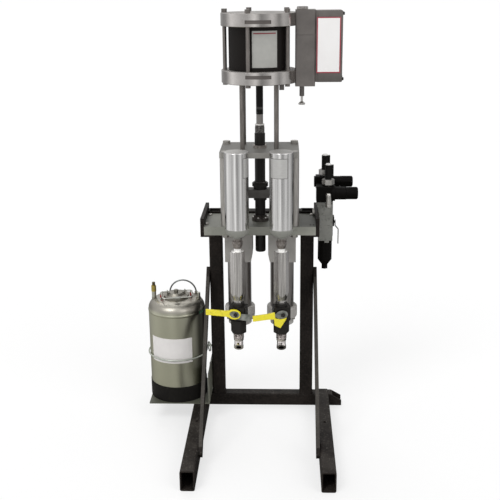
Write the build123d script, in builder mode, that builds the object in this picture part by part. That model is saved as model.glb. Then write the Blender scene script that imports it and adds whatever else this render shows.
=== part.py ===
from build123d import *
from math import atan2, cos, degrees, hypot, radians, sin, sqrt
import os

os.makedirs("parts", exist_ok=True)

# Silicone dosing machine on a steel stand, in millimetres, +Z up, -Y to the front.
# The origin is on the floor, under the middle of the two posts.

# Stand of square and rectangular tube
tube = 50.8
tube_wall = 4.8
tube_corner = 7.0
leg_height = 76.2
leg_length = 634.0
post_gap = 302.0
post_over = 8.0
beam_tail = 54.7
beam_bevel_run = 44.0
beam_bevel_drop = 26.0
anchor_hole = 11.0
anchor_from_end = 354.0

# Flat bar that braces the posts and carries the pump plate
bar = 12.7
brace_width = 38.0
brace_top = 578.0
brace_foot = 46.0
brace_reach = 508.0
ledge = 6.35
ledge_width = 36.0
bracket_rise = 30.0

# Pump plate and upper plate
plate_gap = 1.0
plate_side_gap = 0.2
pump_plate_depth = 191.0
pump_plate_thick = 31.75
pump_plate_top = 809.0
upper_plate_width = 281.0
upper_plate_depth = 215.0
upper_plate_thick = 20.0
plate_corner = 8.0
plates_apart = 252.0
spacer_across = 250.0
spacer_along = 152.0
spacer_size = 32.0
motor_rod_across = 120.0
motor_rod_along = 130.0
motor_rod_size = 16.0
motor_above_plate = 233.6

# Bolts, nuts and the clearance of their holes
hole_gap = 0.1
plate_bolt = 16.0
plate_bolt_head = 24.0
plate_bolt_head_height = 11.0
socket_head = 24.0
socket_head_height = 12.0
frame_bolt = 10.0
frame_bolt_head = 17.0
frame_bolt_head_height = 7.0
bracket_bolt_gap = 24.0
bracket_bolt_rise = 18.0
shelf_bolt_z = 140.0
shelf_bolt_gap = 60.0
air_bolt_over = 13.0
air_bolt_y = -52.0
air_bolt_gap = 26.0

# Air motor
cap_radius = 133.4
cap_thick = 44.4
cap_flat = 126.0
cap_edge = 1.5
sleeve_radius = 107.0
sleeve_wall = 6.0
sleeve_height = 148.8
tie_circle = 120.5
tie_size = 14.0
tie_count = 5
tie_start = 37.1
tie_nut = 17.0
tie_nut_height = 13.0
tie_foot = 17.0
tie_foot_height = 9.0
recess_width = 88.0
recess_height = 12.0
recess_depth = 2.5
recess_from_edge = 22.0
piston_thick = 31.0

# Air valve on the motor's right side
block_width = 69.0
block_depth = 84.0
block_height = 258.0
block_drop = 12.6
block_edge = 3.0
seam_height = 174.0
seam_width = 1.5
cover_width = 93.0
cover_depth = 92.0
cover_height = 240.0
cover_lift = 15.0
cover_bevel_run = 12.0
cover_bevel_depth = 8.0
cover_wall = 4.0
cover_edge = 3.0
round_cap_size = 38.0
round_cap_height = 10.0
drain_plug = 17.0
drain_plug_depth = 25.0
drain_plug_height = 22.0
drain_plug_x = 79.0
drain_plug_y = -51.0
housing_size = 17.0
housing_length = 38.0
housing_in = 24.0
button_stem = 8.0
button_stem_in = 20.0
button_stem_out = 18.0
button_size = 24.0
button_thick = 12.0
button_rim = 5.0
button_travel = 8.0

# Drive train
run_gap = 0.05
motor_shaft = 25.4
motor_shaft_lift = 120.0
neck_size = 24.0
neck_flats = 20.5
neck_length = 34.0
coupling_size = 33.0
coupling_length = 34.0
coupling_groove = 1.2
coupling_land = 7.0
spigot_size = 16.0
drive_rod_size = 38.1
drive_rod_drop = 87.25
drive_rod_edge = 4.0
crosshead_lift = 89.0
crosshead_thick = 30.0
crosshead_width = 50.0
crosshead_length = 210.0
low_collar_size = 47.8
low_collar_thick = 11.0
top_collar_size = 58.6
top_collar_neck = 48.0
top_collar_thick = 24.0
top_collar_flange = 13.0
gland_size = 46.0
gland_height = 9.0
bush_size = 44.0
guide_flange = 62.0
guide_flange_height = 12.0
guide_hub = 48.0
guide_hub_height = 22.0

# Pumps under the pump plate
pump_apart = 160.0
plunger_size = 32.0
plunger_neck = 24.0
plunger_nut = 38.0
plunger_nut_height = 18.0
plunger_gap = 4.0
pump_block_width = 102.0
pump_block_depth = 90.0
pump_block_height = 118.25
pump_block_taper = 6.0
pump_block_taper_height = 30.0
barrel_size = 88.0
barrel_bore = 68.0
barrel_length = 183.0
pump_piston_thick = 30.0
foot_size = 114.0
foot_thick = 44.0
foot_edge = 6.0
foot_cap_size = 88.0
foot_cap_thick = 27.0
inlet_bore = 20.0
inlet_depth = 25.0

# Fluid stacks in front of the plates
stack_apart = 156.0
stack_ahead = 156.0
stack_drop = 2.25
chamber_size = 85.0
chamber_wall = 4.0
chamber_height = 273.5
chamber_edge = 3.0
dome_height = 33.0
dome_neck_height = 13.5
dome_neck = 27.0
dome_floor = 12.0
flow_bore = 16.0
tee_corners = 38.0
tee_foot = 29.0
tee_height = 27.0
tee_taper = 16.0
tee_arm = 24.0
filter_neck = 26.0
filter_neck_height = 10.0
filter_corners = 53.0
filter_turn = 8.0
filter_height = 183.0
filter_edge = 3.0
filter_taper = 28.0
filter_waist = 38.0
filter_bore = 30.0
filter_foot_corners = 32.0
filter_foot_height = 13.0
valve_neck = 44.0
valve_neck_height = 12.0
valve_width = 62.0
valve_depth = 50.0
valve_corner = 8.0
valve_body_height = 53.0
valve_stem_height = 30.5
valve_body_edge = 3.0
valve_nut_corners = 58.0
valve_nut_height = 51.0
valve_nut_edge = 3.0
left_valve_turn = -13.0
right_valve_turn = 10.0
ball_size = 30.0
ball_gap = 0.3
stem_size = 12.0
stem_nut = 16.0
stem_nut_height = 5.0
left_lever_length = 108.0
right_lever_length = 105.0
lever_height = 14.0
lever_thick = 3.0
lever_standoff = 7.0
head_middle = 4.0
head_length = 44.0
head_height = 32.0
left_lever_droop = 0.0
right_lever_droop = 4.5
tail_length = 54.0
tail_drop = 22.0
grip_height = 21.0
grip_thick = 9.0
grip_edge = 1.4
grip_flare = 26.0
grip_flare_length = 26.0
left_grip_start = 20.0
right_grip_start = 29.0
grip_head_length = 51.0
grip_head_height = 37.0
grip_window_length = 38.0
grip_window_height = 26.0
grip_over = 5.0
lock_top = 15.5
lock_low = 49.0
swivel_spigot = 24.0
swivel_depth = 15.0
swivel_gap = 0.3
outlet_size = 36.0
outlet_straight = 30.0
outlet_pipe = 32.0
outlet_bore = 19.0
outlet_bend = 26.0
outlet_turn = 55.0
outlet_lip = 35.0
outlet_lip_length = 9.0

# Air controls on the right side bracket
air_plate_front = 85.4
air_plate_thick = 6.0
air_plate_width = 54.5
air_plate_drop = 59.25
air_plate_rise = 63.0
air_plate_slant = 14.0
air_plate_over = 6.0
air_flange_depth = 55.0
air_flange_drop = 1.25
air_flange_height = 56.0
filter_head_width = 56.0
filter_head_depth = 54.0
filter_head_lift = 17.0
filter_head_height = 35.0
bowl_size = 53.0
bowl_length = 98.0
bowl_cone = 20.0
bowl_foot = 24.0
drain_bore = 8.0
drain_bore_depth = 14.0
drain_wing = 22.0
drain_wing_height = 18.0
air_valve_width = 55.0
air_valve_depth = 42.0
air_valve_height = 36.0
air_valve_edge = 4.0
air_stem = 10.0
air_stem_in = 14.0
air_stem_out = 3.0
air_stem_height = 13.0
air_lever_drop = 84.0
air_lever_width = 14.0
air_lever_thick = 3.0
air_lever_kick = 12.0
air_inlet_bore = 16.0
air_inlet_depth = 18.0
reg_over = 8.0
front_reg_width = 56.0
front_reg_depth = 54.0
front_reg_height = 60.0
front_bonnet = 48.0
front_bonnet_length = 54.5
front_bonnet_flange = 58.0
bonnet_flange_thick = 13.0
rear_reg_width = 54.0
rear_reg_depth = 46.0
rear_reg_height = 46.0
rear_reg_back = 70.0
rear_reg_lift = 35.0
rear_bonnet = 40.0
rear_bonnet_length = 36.0
rear_bonnet_flange = 50.0
rear_tail_size = 41.0
rear_tail_length = 6.0
reg_edge = 4.0
knob_stem = 12.0
knob_stem_in = 16.0
knob_gap = 1.0
front_knob_size = 46.0
front_knob_length = 41.5
rear_knob_size = 41.0
rear_knob_length = 47.5
knob_groove = 1.5
knob_groove_width = 4.0
knob_grooves = 12
knob_edge = 4.0
link_size = 20.0
push_nipple = 16.0
push_nipple_height = 4.0
push_hex = 46.0
push_hex_height = 19.0
push_body = 25.0
push_body_height = 54.0
push_lug = 19.0
push_lug_width = 12.0
push_lug_height = 44.0
push_collar = 18.0
push_collar_height = 4.0
push_from_left = 43.5
rear_push_from_left = 34.0
gauge_pipe = 20.0
gauge_out = 14.0
gauge_drop = 42.0
gauge_hex = 25.0
gauge_hex_height = 12.0

# Pressure tank beside the left post
tank_x = -332.0
tank_y = -55.4
shelf_thick = 4.8
shelf_left = -438.0
shelf_front = -167.4
shelf_back = 60.0
flange_height = 127.0
tank_radius = 109.5
tank_wall = 1.6
boot_wall = 1.8
boot_height = 63.0
boot_floor = 6.0
seam_z = 437.0
seam_bulge = 1.4
seam_size = 6.0
shoulder_radius = 78.0
shoulder_z = 478.0
collar_foot_radius = 52.0
collar_foot_z = 482.0
collar_radius = 49.0
collar_top = 490.0
post_reach = 87.0
gas_boss = 18.0
gas_boss_top = 482.0
gas_post = 17.0
gas_post_top = 504.0
gas_brass = 19.0
gas_brass_height = 24.0
gas_tip = 12.0
gas_tip_height = 13.0
liquid_post = 14.0
liquid_post_height = 18.0
handle_wire = 6.0
handle_half = 52.0
handle_top = 530.0
handle_x = -312.0
handle_y = 2.0
boss_depth = 20.0
handle_boss = 12.0
handle_boss_top = 484.0
lid_gap = 0.3
lid_plug_depth = 5.0
lid_flange = 3.0
lid_dome = 8.0
lid_dome_radius = 34.0
lid_boss = 16.0
lid_boss_height = 10.0
ear_reach = 32.0
ear_thick = 4.0
ear_width = 12.0
ear_height = 12.0
bail_turn = 12.0
bail_wire = 5.0
bail_half = 58.0
bail_in = 6.0
bail_front = 60.0
bail_droop = 7.0
bail_corner = 12.0
bail_foot_size = 10.0
bail_foot_gap = 0.3
bail_tab_width = 22.0
bail_tab_depth = 14.0
hoop_z = 260.0
hoop_wire = 5.6
hoop_gap = 0.5
lug_depth = 14.0
lug_y = -16.0
eye_radius = 18.0
eye_wire = 5.0
eye_out = 7.0
eye_rise = 6.0
eye_turn = 20.0

# Places that follow from the sizes above
seat = (Align.CENTER, Align.CENTER, Align.MIN)
under = (Align.CENTER, Align.CENTER, Align.MAX)
tube_inside = tube - 2 * tube_wall
post_x = (post_gap + tube) / 2
post_outer = post_gap / 2 + tube
leg_inner = post_outer + bar
leg_x = leg_inner + tube / 2
leg_outer = leg_inner + tube
beam_right = leg_outer + beam_tail
drive_y = -(tube / 2 + plate_gap + pump_plate_depth / 2)
plate_front = drive_y - pump_plate_depth / 2
pump_plate_low = pump_plate_top - pump_plate_thick
post_top = pump_plate_top + post_over
upper_plate_low = pump_plate_top + plates_apart
upper_plate_top = upper_plate_low + upper_plate_thick
motor_low = upper_plate_top + motor_above_plate
motor_shaft_low = upper_plate_top + motor_shaft_lift
drive_rod_low = pump_plate_low - drive_rod_drop
crosshead_low = pump_plate_top + crosshead_lift
sleeve_low = motor_low + cap_thick
sleeve_top = sleeve_low + sleeve_height
motor_top = sleeve_top + cap_thick
piston_low = (sleeve_low + sleeve_top - piston_thick) / 2
pump_x = pump_apart / 2
pump_block_low = pump_plate_low - pump_block_height
barrel_low = pump_block_low - barrel_length
foot_low = barrel_low - foot_thick
pump_piston_low = (pump_block_low + barrel_low - pump_piston_thick) / 2
stack_x = stack_apart / 2
stack_y = drive_y - stack_ahead
stack_top = pump_plate_low - stack_drop
dome_low = stack_top + dome_neck_height
chamber_low = dome_low + dome_height
tee_low = stack_top - tee_height
filter_top = tee_low - filter_neck_height
filter_low = filter_top - filter_height
valve_top = filter_low - filter_foot_height
valve_body_top = valve_top - valve_neck_height
valve_body_low = valve_body_top - valve_body_height
valve_nut_low = valve_body_low - valve_nut_height
stem_z = valve_body_low + valve_stem_height
outlet_top = valve_nut_low - swivel_gap
block_low = motor_low - block_drop
cover_low = block_low + cover_lift
cover_left = cap_flat + block_width
button_x = cap_flat + housing_in
housing_low = block_low - housing_length
air_plate_left = leg_inner
air_plate_low = pump_plate_low - air_plate_drop
air_plate_top = pump_plate_top + air_plate_rise
air_flange_low = pump_plate_low - air_flange_drop
air_bolt_z = pump_plate_top + air_bolt_over
air_x = air_plate_left + filter_head_width / 2
air_back = -air_plate_front + air_plate_thick
filter_y = air_back + filter_head_depth / 2
filter_head_low = air_plate_low + filter_head_lift
filter_head_top = filter_head_low + filter_head_height
bowl_low = filter_head_low - bowl_length
drain_top = bowl_low - bowl_cone
air_valve_right = air_plate_left + air_plate_thick + air_valve_width
reg_left = air_plate_left - reg_over
front_reg_x = reg_left + front_reg_width / 2
push_x = reg_left + push_from_left
front_reg_y = -air_plate_front
front_reg_top = air_plate_top + front_reg_height
rear_reg_y = front_reg_y + front_reg_depth / 2 + rear_reg_back - rear_reg_depth / 2
rear_reg_low = air_plate_top + rear_reg_lift
rear_reg_top = rear_reg_low + rear_reg_height
tank_low = leg_height + shelf_thick
boot_radius = tank_radius + boot_wall
shell_low = tank_low + boot_floor
hoop_radius = boot_radius + hoop_gap + hoop_wire / 2
lid_low = collar_top - lid_plug_depth
lid_top = collar_top + lid_flange + lid_dome
ear_z = collar_top + lid_flange + ear_height
stack_hands = (
    (-1, "left", left_valve_turn, left_lever_droop, left_lever_length),
    (1, "right", right_valve_turn, right_lever_droop, right_lever_length),
)


def upright(x, y):
    """Upright plane through a point, seen from the front, for turned profiles."""
    return Plane(origin=(x, y, 0), x_dir=(1, 0, 0), z_dir=(0, -1, 0))


def vertical(x, y):
    """Vertical axis through a point."""
    return Axis((x, y, 0), (0, 0, 1))


# Stand: the cross beam lies on the floor and its right end is bevelled and open
with BuildPart() as base_crossbeam:
    with BuildSketch(Plane.YZ.offset(-leg_outer)):
        with Locations((0, tube / 2)):
            RectangleRounded(tube, tube, tube_corner)
            RectangleRounded(tube_inside, tube_inside, tube_corner - tube_wall, mode=Mode.SUBTRACT)
    extrude(amount=leg_outer + beam_right)
    with BuildSketch(Plane.XZ.offset(-tube)):
        with BuildLine():
            Polyline(
                (beam_right - beam_bevel_run, tube),
                (beam_right + tube, tube),
                (beam_right + tube, tube - beam_bevel_drop),
                (beam_right, tube - beam_bevel_drop),
                close=True,
            )
        make_face()
    extrude(amount=2 * tube, mode=Mode.SUBTRACT)
base_crossbeam.part.label = "base_crossbeam"
export_step(base_crossbeam.part, "parts/base_crossbeam.step")

# Legs butt against the front of the beam, open at their front ends, with an anchor hole each
for side, hand in ((-1, "left"), (1, "right")):
    with BuildPart() as leg:
        with BuildSketch(Plane.XZ.offset(tube / 2)):
            with Locations((side * leg_x, leg_height / 2)):
                RectangleRounded(tube, leg_height, tube_corner)
                RectangleRounded(
                    tube_inside,
                    leg_height - 2 * tube_wall,
                    tube_corner - tube_wall,
                    mode=Mode.SUBTRACT,
                )
        extrude(amount=leg_length)
        with Locations((side * leg_x, -tube / 2 - leg_length + anchor_from_end, 0)):
            Cylinder(anchor_hole / 2, leg_height, align=seat, mode=Mode.SUBTRACT)
    leg.part.label = f"{hand}_leg"
    export_step(leg.part, f"parts/{hand}_leg.step")

# Posts stand on the beam
for side, hand in ((-1, "left"), (1, "right")):
    with BuildPart() as post:
        with BuildSketch(Plane.XY.offset(tube)):
            with Locations((side * post_x, 0)):
                RectangleRounded(tube, tube, tube_corner)
                RectangleRounded(
                    tube_inside, tube_inside, tube_corner - tube_wall, mode=Mode.SUBTRACT
                )
        extrude(amount=post_top - tube)
        with BuildSketch(Plane.YZ.offset(side * post_outer)):
            with Locations((0, pump_plate_low + bracket_bolt_rise)):
                with GridLocations(0, bracket_bolt_gap, 1, 2):
                    Circle(frame_bolt / 2 + hole_gap)
            if hand == "left":
                with Locations((0, shelf_bolt_z)):
                    with GridLocations(0, shelf_bolt_gap, 1, 2):
                        Circle(frame_bolt / 2 + hole_gap)
        extrude(amount=-side * tube_wall, mode=Mode.SUBTRACT)
    post.part.label = f"{hand}_post"
    export_step(post.part, f"parts/{hand}_post.step")

# Rail between the post tops
with BuildPart() as top_rail:
    with BuildSketch(Plane.YZ.offset(-post_gap / 2)):
        with Locations((0, post_top - tube / 2)):
            RectangleRounded(tube, tube, tube_corner)
            RectangleRounded(tube_inside, tube_inside, tube_corner - tube_wall, mode=Mode.SUBTRACT)
    extrude(amount=post_gap)
top_rail.part.label = "top_rail"
export_step(top_rail.part, "parts/top_rail.step")

# Braces run from the outer face of each post to the inner face of its leg
brace_rise = brace_top - brace_foot
brace_angle = degrees(atan2(brace_rise, brace_reach))
for side, hand in ((-1, "left"), (1, "right")):
    with BuildPart() as brace:
        with BuildSketch(Plane.YZ.offset(min(side * post_outer, side * leg_inner))):
            with Locations((-brace_reach / 2, brace_foot + brace_rise / 2)):
                Rectangle(hypot(brace_rise, brace_reach), brace_width, rotation=brace_angle)
        extrude(amount=bar)
    brace.part.label = f"{hand}_brace"
    export_step(brace.part, f"parts/{hand}_brace.step")

# Side brackets: upright flat bar on the post's outer face, with a ledge under the pump plate
for side, hand in ((-1, "left"), (1, "right")):
    with BuildPart() as side_bracket:
        with BuildSketch(Plane.YZ.offset(min(side * post_outer, side * leg_inner))):
            with Locations((plate_front, pump_plate_low - ledge)):
                Rectangle(
                    tube / 2 - plate_front,
                    pump_plate_thick + ledge + bracket_rise,
                    align=(Align.MIN, Align.MIN),
                )
        extrude(amount=bar)
        with Locations((side * (post_outer - ledge_width / 2), drive_y, pump_plate_low)):
            Box(ledge_width, pump_plate_depth, ledge, align=under)
        with BuildSketch(Plane.YZ.offset(side * post_outer)):
            with Locations((0, pump_plate_low + bracket_bolt_rise)):
                with GridLocations(0, bracket_bolt_gap, 1, 2):
                    Circle(frame_bolt / 2 + hole_gap)
            if hand == "right":
                with Locations((air_bolt_y, air_bolt_z)):
                    with GridLocations(air_bolt_gap, 0, 2, 1):
                        Circle(frame_bolt / 2 + hole_gap)
        extrude(amount=side * bar, mode=Mode.SUBTRACT)
    side_bracket.part.label = f"{hand}_side_bracket"
    export_step(side_bracket.part, f"parts/{hand}_side_bracket.step")

# Pump plate lies on the ledges between the side brackets
with BuildPart() as pump_plate:
    with BuildSketch(Plane.XY.offset(pump_plate_low)):
        with Locations((0, drive_y)):
            Rectangle(2 * (post_outer - plate_side_gap), pump_plate_depth)
            Circle(bush_size / 2, mode=Mode.SUBTRACT)
            with Locations((-pump_x, 0), (pump_x, 0)):
                Circle(plunger_size / 2 + plunger_gap, mode=Mode.SUBTRACT)
    extrude(amount=pump_plate_thick)
pump_plate.part.label = "pump_plate"
export_step(pump_plate.part, "parts/pump_plate.step")

# Upper plate: bolted to the four spacers, its rear bolts with hex heads, its front ones flush
with BuildPart() as upper_plate:
    with BuildSketch(Plane.XY.offset(upper_plate_low)):
        with Locations((0, drive_y)):
            Rectangle(upper_plate_width, upper_plate_depth)
            Circle(bush_size / 2, mode=Mode.SUBTRACT)
            with GridLocations(spacer_across, spacer_along, 2, 2):
                Circle(plate_bolt / 2 + hole_gap, mode=Mode.SUBTRACT)
    extrude(amount=upper_plate_thick)
    chamfer(upper_plate.edges().filter_by(Axis.Z).filter_by(GeomType.LINE), plate_corner)
    with Locations((0, drive_y - spacer_along / 2, upper_plate_top)):
        with GridLocations(spacer_across, 0, 2, 1):
            Cylinder(
                socket_head / 2 + hole_gap, socket_head_height, align=under, mode=Mode.SUBTRACT
            )
upper_plate.part.label = "upper_plate"
export_step(upper_plate.part, "parts/upper_plate.step")

# Spacer rods: four thick ones between the plates and four thin ones under the motor
with BuildPart() as spacer_rods:
    with BuildSketch(Plane.XY.offset(pump_plate_top)):
        with Locations((0, drive_y)):
            with GridLocations(spacer_across, spacer_along, 2, 2):
                Circle(spacer_size / 2)
    extrude(amount=plates_apart)
    with BuildSketch(Plane.XY.offset(upper_plate_top)):
        with Locations((0, drive_y)):
            with GridLocations(motor_rod_across, motor_rod_along, 2, 2):
                Circle(motor_rod_size / 2)
    extrude(amount=motor_above_plate)
spacer_rods.part.label = "spacer_rods"
export_step(spacer_rods.part, "parts/spacer_rods.step")

# Rod guides: a bush with a low gland in each plate, the lower one on a round flange
with BuildPart() as rod_guides:
    with BuildSketch(upright(0, drive_y)):
        with BuildLine():
            Polyline(
                (drive_rod_size / 2 + run_gap, pump_plate_low),
                (bush_size / 2, pump_plate_low),
                (bush_size / 2, pump_plate_top),
                (guide_flange / 2, pump_plate_top),
                (guide_flange / 2, pump_plate_top + guide_flange_height),
                (guide_hub / 2, pump_plate_top + guide_flange_height),
                (guide_hub / 2, pump_plate_top + guide_hub_height),
                (drive_rod_size / 2 + run_gap, pump_plate_top + guide_hub_height),
                close=True,
            )
        make_face()
        with BuildLine():
            Polyline(
                (drive_rod_size / 2 + run_gap, upper_plate_low),
                (bush_size / 2, upper_plate_low),
                (bush_size / 2, upper_plate_top),
                (gland_size / 2, upper_plate_top),
                (gland_size / 2, upper_plate_top + gland_height),
                (drive_rod_size / 2 + run_gap, upper_plate_top + gland_height),
                close=True,
            )
        make_face()
    revolve(axis=vertical(0, drive_y))
rod_guides.part.label = "rod_guides"
export_step(rod_guides.part, "parts/rod_guides.step")

# Air motor caps: round, with a flat for the valve block, rod holes and a shallow rim recess
for cap_low, recess_z, place in (
    (motor_low, motor_low + recess_from_edge, "bottom"),
    (sleeve_top, motor_top - recess_from_edge - recess_height, "top"),
):
    with BuildPart() as motor_cap:
        with BuildSketch(Plane.XY.offset(cap_low)):
            with Locations((0, drive_y)):
                Circle(cap_radius)
                with Locations((cap_flat, 0)):
                    Rectangle(
                        cap_radius,
                        2 * cap_radius,
                        align=(Align.MIN, Align.CENTER),
                        mode=Mode.SUBTRACT,
                    )
        extrude(amount=cap_thick)
        chamfer(motor_cap.faces().filter_by(Axis.Z).edges(), cap_edge)
        with BuildSketch(Plane.XY.offset(cap_low)):
            with Locations((0, drive_y)):
                with PolarLocations(tie_circle, tie_count, start_angle=tie_start):
                    Circle(tie_size / 2 + hole_gap)
                if place == "bottom":
                    Circle(motor_shaft / 2 + run_gap)
        extrude(amount=cap_thick, mode=Mode.SUBTRACT)
        with BuildSketch(Plane.XY.offset(recess_z)):
            with Locations((0, drive_y)):
                Circle(cap_radius + recess_depth)
                Circle(cap_radius - recess_depth, mode=Mode.SUBTRACT)
                with Locations((0, -cap_radius)):
                    Rectangle(recess_width, cap_radius, mode=Mode.INTERSECT)
        extrude(amount=recess_height, mode=Mode.SUBTRACT)
    motor_cap.part.label = f"motor_{place}_cap"
    export_step(motor_cap.part, f"parts/motor_{place}_cap.step")

# Motor sleeve between the caps
with BuildPart() as motor_sleeve:
    with BuildSketch(Plane.XY.offset(sleeve_low)):
        with Locations((0, drive_y)):
            Circle(sleeve_radius)
            Circle(sleeve_radius - sleeve_wall, mode=Mode.SUBTRACT)
    extrude(amount=sleeve_height)
motor_sleeve.part.label = "motor_sleeve"
export_step(motor_sleeve.part, "parts/motor_sleeve.step")

# Tie rods through both caps, with hex nuts on top and short ends below
with BuildPart() as motor_tie_rods:
    with Locations((0, drive_y)):
        with PolarLocations(tie_circle, tie_count, start_angle=tie_start):
            with Locations((0, 0, motor_low)):
                Cylinder(tie_size / 2, motor_top - motor_low, align=seat)
                Cylinder(tie_foot / 2, tie_foot_height, align=under)
    with BuildSketch(Plane.XY.offset(motor_top)):
        with Locations((0, drive_y)):
            with PolarLocations(tie_circle, tie_count, start_angle=tie_start):
                RegularPolygon(tie_nut / 2, 6, major_radius=False)
    extrude(amount=tie_nut_height)
motor_tie_rods.part.label = "motor_tie_rods"
export_step(motor_tie_rods.part, "parts/motor_tie_rods.step")

# Valve block: bevelled edges and a fine joint line round it
with BuildPart() as valve_block:
    with Locations((cap_flat + block_width / 2, drive_y, block_low)):
        Box(block_width, block_depth, block_height, align=seat)
    chamfer(valve_block.edges().filter_by(Axis.Z), block_edge)
    with BuildSketch(Plane.XY.offset(block_low + seam_height)):
        with Locations((cap_flat + block_width / 2, drive_y)):
            Rectangle(block_width, block_depth)
            Rectangle(block_width - 2 * seam_width, block_depth - 2 * seam_width, mode=Mode.SUBTRACT)
    extrude(amount=seam_width, mode=Mode.SUBTRACT)
valve_block.part.label = "valve_block"
export_step(valve_block.part, "parts/valve_block.step")

# Valve cover: a shell open towards the block, with a bevel down its left front edge
cover_front = drive_y - cover_depth / 2
cover_back = drive_y + cover_depth / 2
cover_right = cover_left + cover_width
bevel_slant = hypot(cover_bevel_run, cover_bevel_depth)
inner_bevel_depth = cover_bevel_depth + cover_wall * (bevel_slant / cover_bevel_run - 1)
inner_bevel_run = inner_bevel_depth * cover_bevel_run / cover_bevel_depth
cover_inner_edge = cover_edge - (2 - sqrt(2)) * cover_wall
with BuildPart() as cover_hollow:
    with BuildSketch(Plane.XY.offset(cover_low + cover_wall)):
        with BuildLine():
            Polyline(
                (cover_left, cover_back - cover_wall),
                (cover_left, cover_front + cover_wall + inner_bevel_depth),
                (cover_left + inner_bevel_run, cover_front + cover_wall),
                (cover_right - cover_wall, cover_front + cover_wall),
                (cover_right - cover_wall, cover_back - cover_wall),
                close=True,
            )
        make_face()
    extrude(amount=cover_height - 2 * cover_wall)
    chamfer(cover_hollow.faces().sort_by(Axis.X)[-1].edges(), cover_inner_edge)
with BuildPart() as valve_cover:
    with BuildSketch(Plane.XY.offset(cover_low)):
        with BuildLine():
            Polyline(
                (cover_left, cover_back),
                (cover_left, cover_front + cover_bevel_depth),
                (cover_left + cover_bevel_run, cover_front),
                (cover_right, cover_front),
                (cover_right, cover_back),
                close=True,
            )
        make_face()
    extrude(amount=cover_height)
    chamfer(valve_cover.faces().sort_by(Axis.X)[-1].edges(), cover_edge)
    add(cover_hollow.part, mode=Mode.SUBTRACT)
valve_cover.part.label = "valve_cover"
export_step(valve_cover.part, "parts/valve_cover.step")

# Valve fittings: round cap on the block, square plug under the motor, button housing
with BuildPart() as valve_fittings:
    with Locations((button_x, drive_y, block_low + block_height)):
        Cylinder(round_cap_size / 2, round_cap_height, align=seat)
    chamfer(valve_fittings.faces().sort_by(Axis.Z)[-1].edges(), cap_edge)
    with Locations((drain_plug_x, drive_y + drain_plug_y, motor_low)):
        Box(drain_plug, drain_plug_depth, drain_plug_height, align=under)
    with BuildSketch(Plane.XY.offset(housing_low)):
        with Locations((button_x, drive_y)):
            RegularPolygon(housing_size / 2, 6)
    extrude(amount=housing_length)
    with Locations((button_x, drive_y, housing_low)):
        Cylinder(
            button_stem / 2 + run_gap,
            button_stem_in + button_travel + hole_gap,
            align=seat,
            mode=Mode.SUBTRACT,
        )
valve_fittings.part.label = "valve_fittings"
export_step(valve_fittings.part, "parts/valve_fittings.step")

# Push button: a mushroom head on a stem that slides in the housing
with BuildPart() as reset_button:
    with Locations((button_x, drive_y, housing_low - button_stem_out)):
        Cylinder(button_stem / 2, button_stem_out + button_stem_in, align=seat)
        Cone(
            button_size / 2, button_stem / 2, button_thick - button_rim, align=under
        )
    with Locations((button_x, drive_y, housing_low - button_stem_out - button_thick)):
        Cylinder(button_size / 2, button_rim, align=seat)
    chamfer(reset_button.faces().sort_by(Axis.Z)[0].edges(), cap_edge)
reset_button.part.label = "reset_button"
export_step(reset_button.part, "parts/reset_button.step")

# Motor piston and the rod that it drives, with flats on its lower neck
with BuildPart() as motor_piston:
    with Locations((0, drive_y, piston_low)):
        Cylinder(sleeve_radius - sleeve_wall - run_gap, piston_thick, align=seat)
motor_piston.part.label = "motor_piston"
export_step(motor_piston.part, "parts/motor_piston.step")

coupling_top = motor_shaft_low - neck_length
coupling_low = coupling_top - coupling_length
coupling_mid = coupling_low + coupling_length / 2
with BuildPart() as motor_rod:
    with Locations((0, drive_y, coupling_top)):
        Cylinder(neck_size / 2, neck_length, align=seat)
    with Locations((0, drive_y, coupling_top)):
        with Locations((0, neck_flats / 2 + neck_size, 0), (0, -neck_flats / 2 - neck_size, 0)):
            Box(2 * neck_size, 2 * neck_size, neck_length, align=seat, mode=Mode.SUBTRACT)
    with Locations((0, drive_y, motor_shaft_low)):
        Cylinder(motor_shaft / 2, piston_low - motor_shaft_low, align=seat)
    with Locations((0, drive_y, coupling_mid)):
        Cylinder(spigot_size / 2, coupling_length / 2, align=seat)
motor_rod.part.label = "motor_rod"
export_step(motor_rod.part, "parts/motor_rod.step")

# Coupling between the two rods
with BuildPart() as rod_coupling:
    with Locations((0, drive_y, coupling_low)):
        Cylinder(coupling_size / 2, coupling_length, align=seat)
    chamfer(rod_coupling.faces().filter_by(Axis.Z).edges(), cap_edge)
    with BuildSketch(upright(0, drive_y)):
        with Locations((coupling_size / 2, coupling_top - coupling_land)):
            Rectangle(2 * coupling_groove, 2 * coupling_groove)
    revolve(axis=vertical(0, drive_y), mode=Mode.SUBTRACT)
    with Locations((0, drive_y, coupling_low)):
        Cylinder(spigot_size / 2 + run_gap, coupling_length, align=seat, mode=Mode.SUBTRACT)
rod_coupling.part.label = "rod_coupling"
export_step(rod_coupling.part, "parts/rod_coupling.step")

# Drive rod through both guides and the crosshead, its lower end rounded
with BuildPart() as drive_rod:
    with Locations((0, drive_y, drive_rod_low)):
        Cylinder(drive_rod_size / 2, coupling_low - drive_rod_low, align=seat)
    fillet(drive_rod.faces().sort_by(Axis.Z)[0].edges(), drive_rod_edge)
    with Locations((0, drive_y, coupling_low)):
        Cylinder(spigot_size / 2, coupling_length / 2, align=seat)
drive_rod.part.label = "drive_rod"
export_step(drive_rod.part, "parts/drive_rod.step")

# Crosshead that carries both plungers on the drive rod
with BuildPart() as crosshead:
    with BuildSketch(Plane.XY.offset(crosshead_low)):
        with Locations((0, drive_y)):
            SlotOverall(crosshead_length, crosshead_width)
            Circle(drive_rod_size / 2 + run_gap, mode=Mode.SUBTRACT)
            with Locations((-pump_x, 0), (pump_x, 0)):
                Circle(plunger_neck / 2 + run_gap, mode=Mode.SUBTRACT)
    extrude(amount=crosshead_thick)
crosshead.part.label = "crosshead"
export_step(crosshead.part, "parts/crosshead.step")

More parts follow.
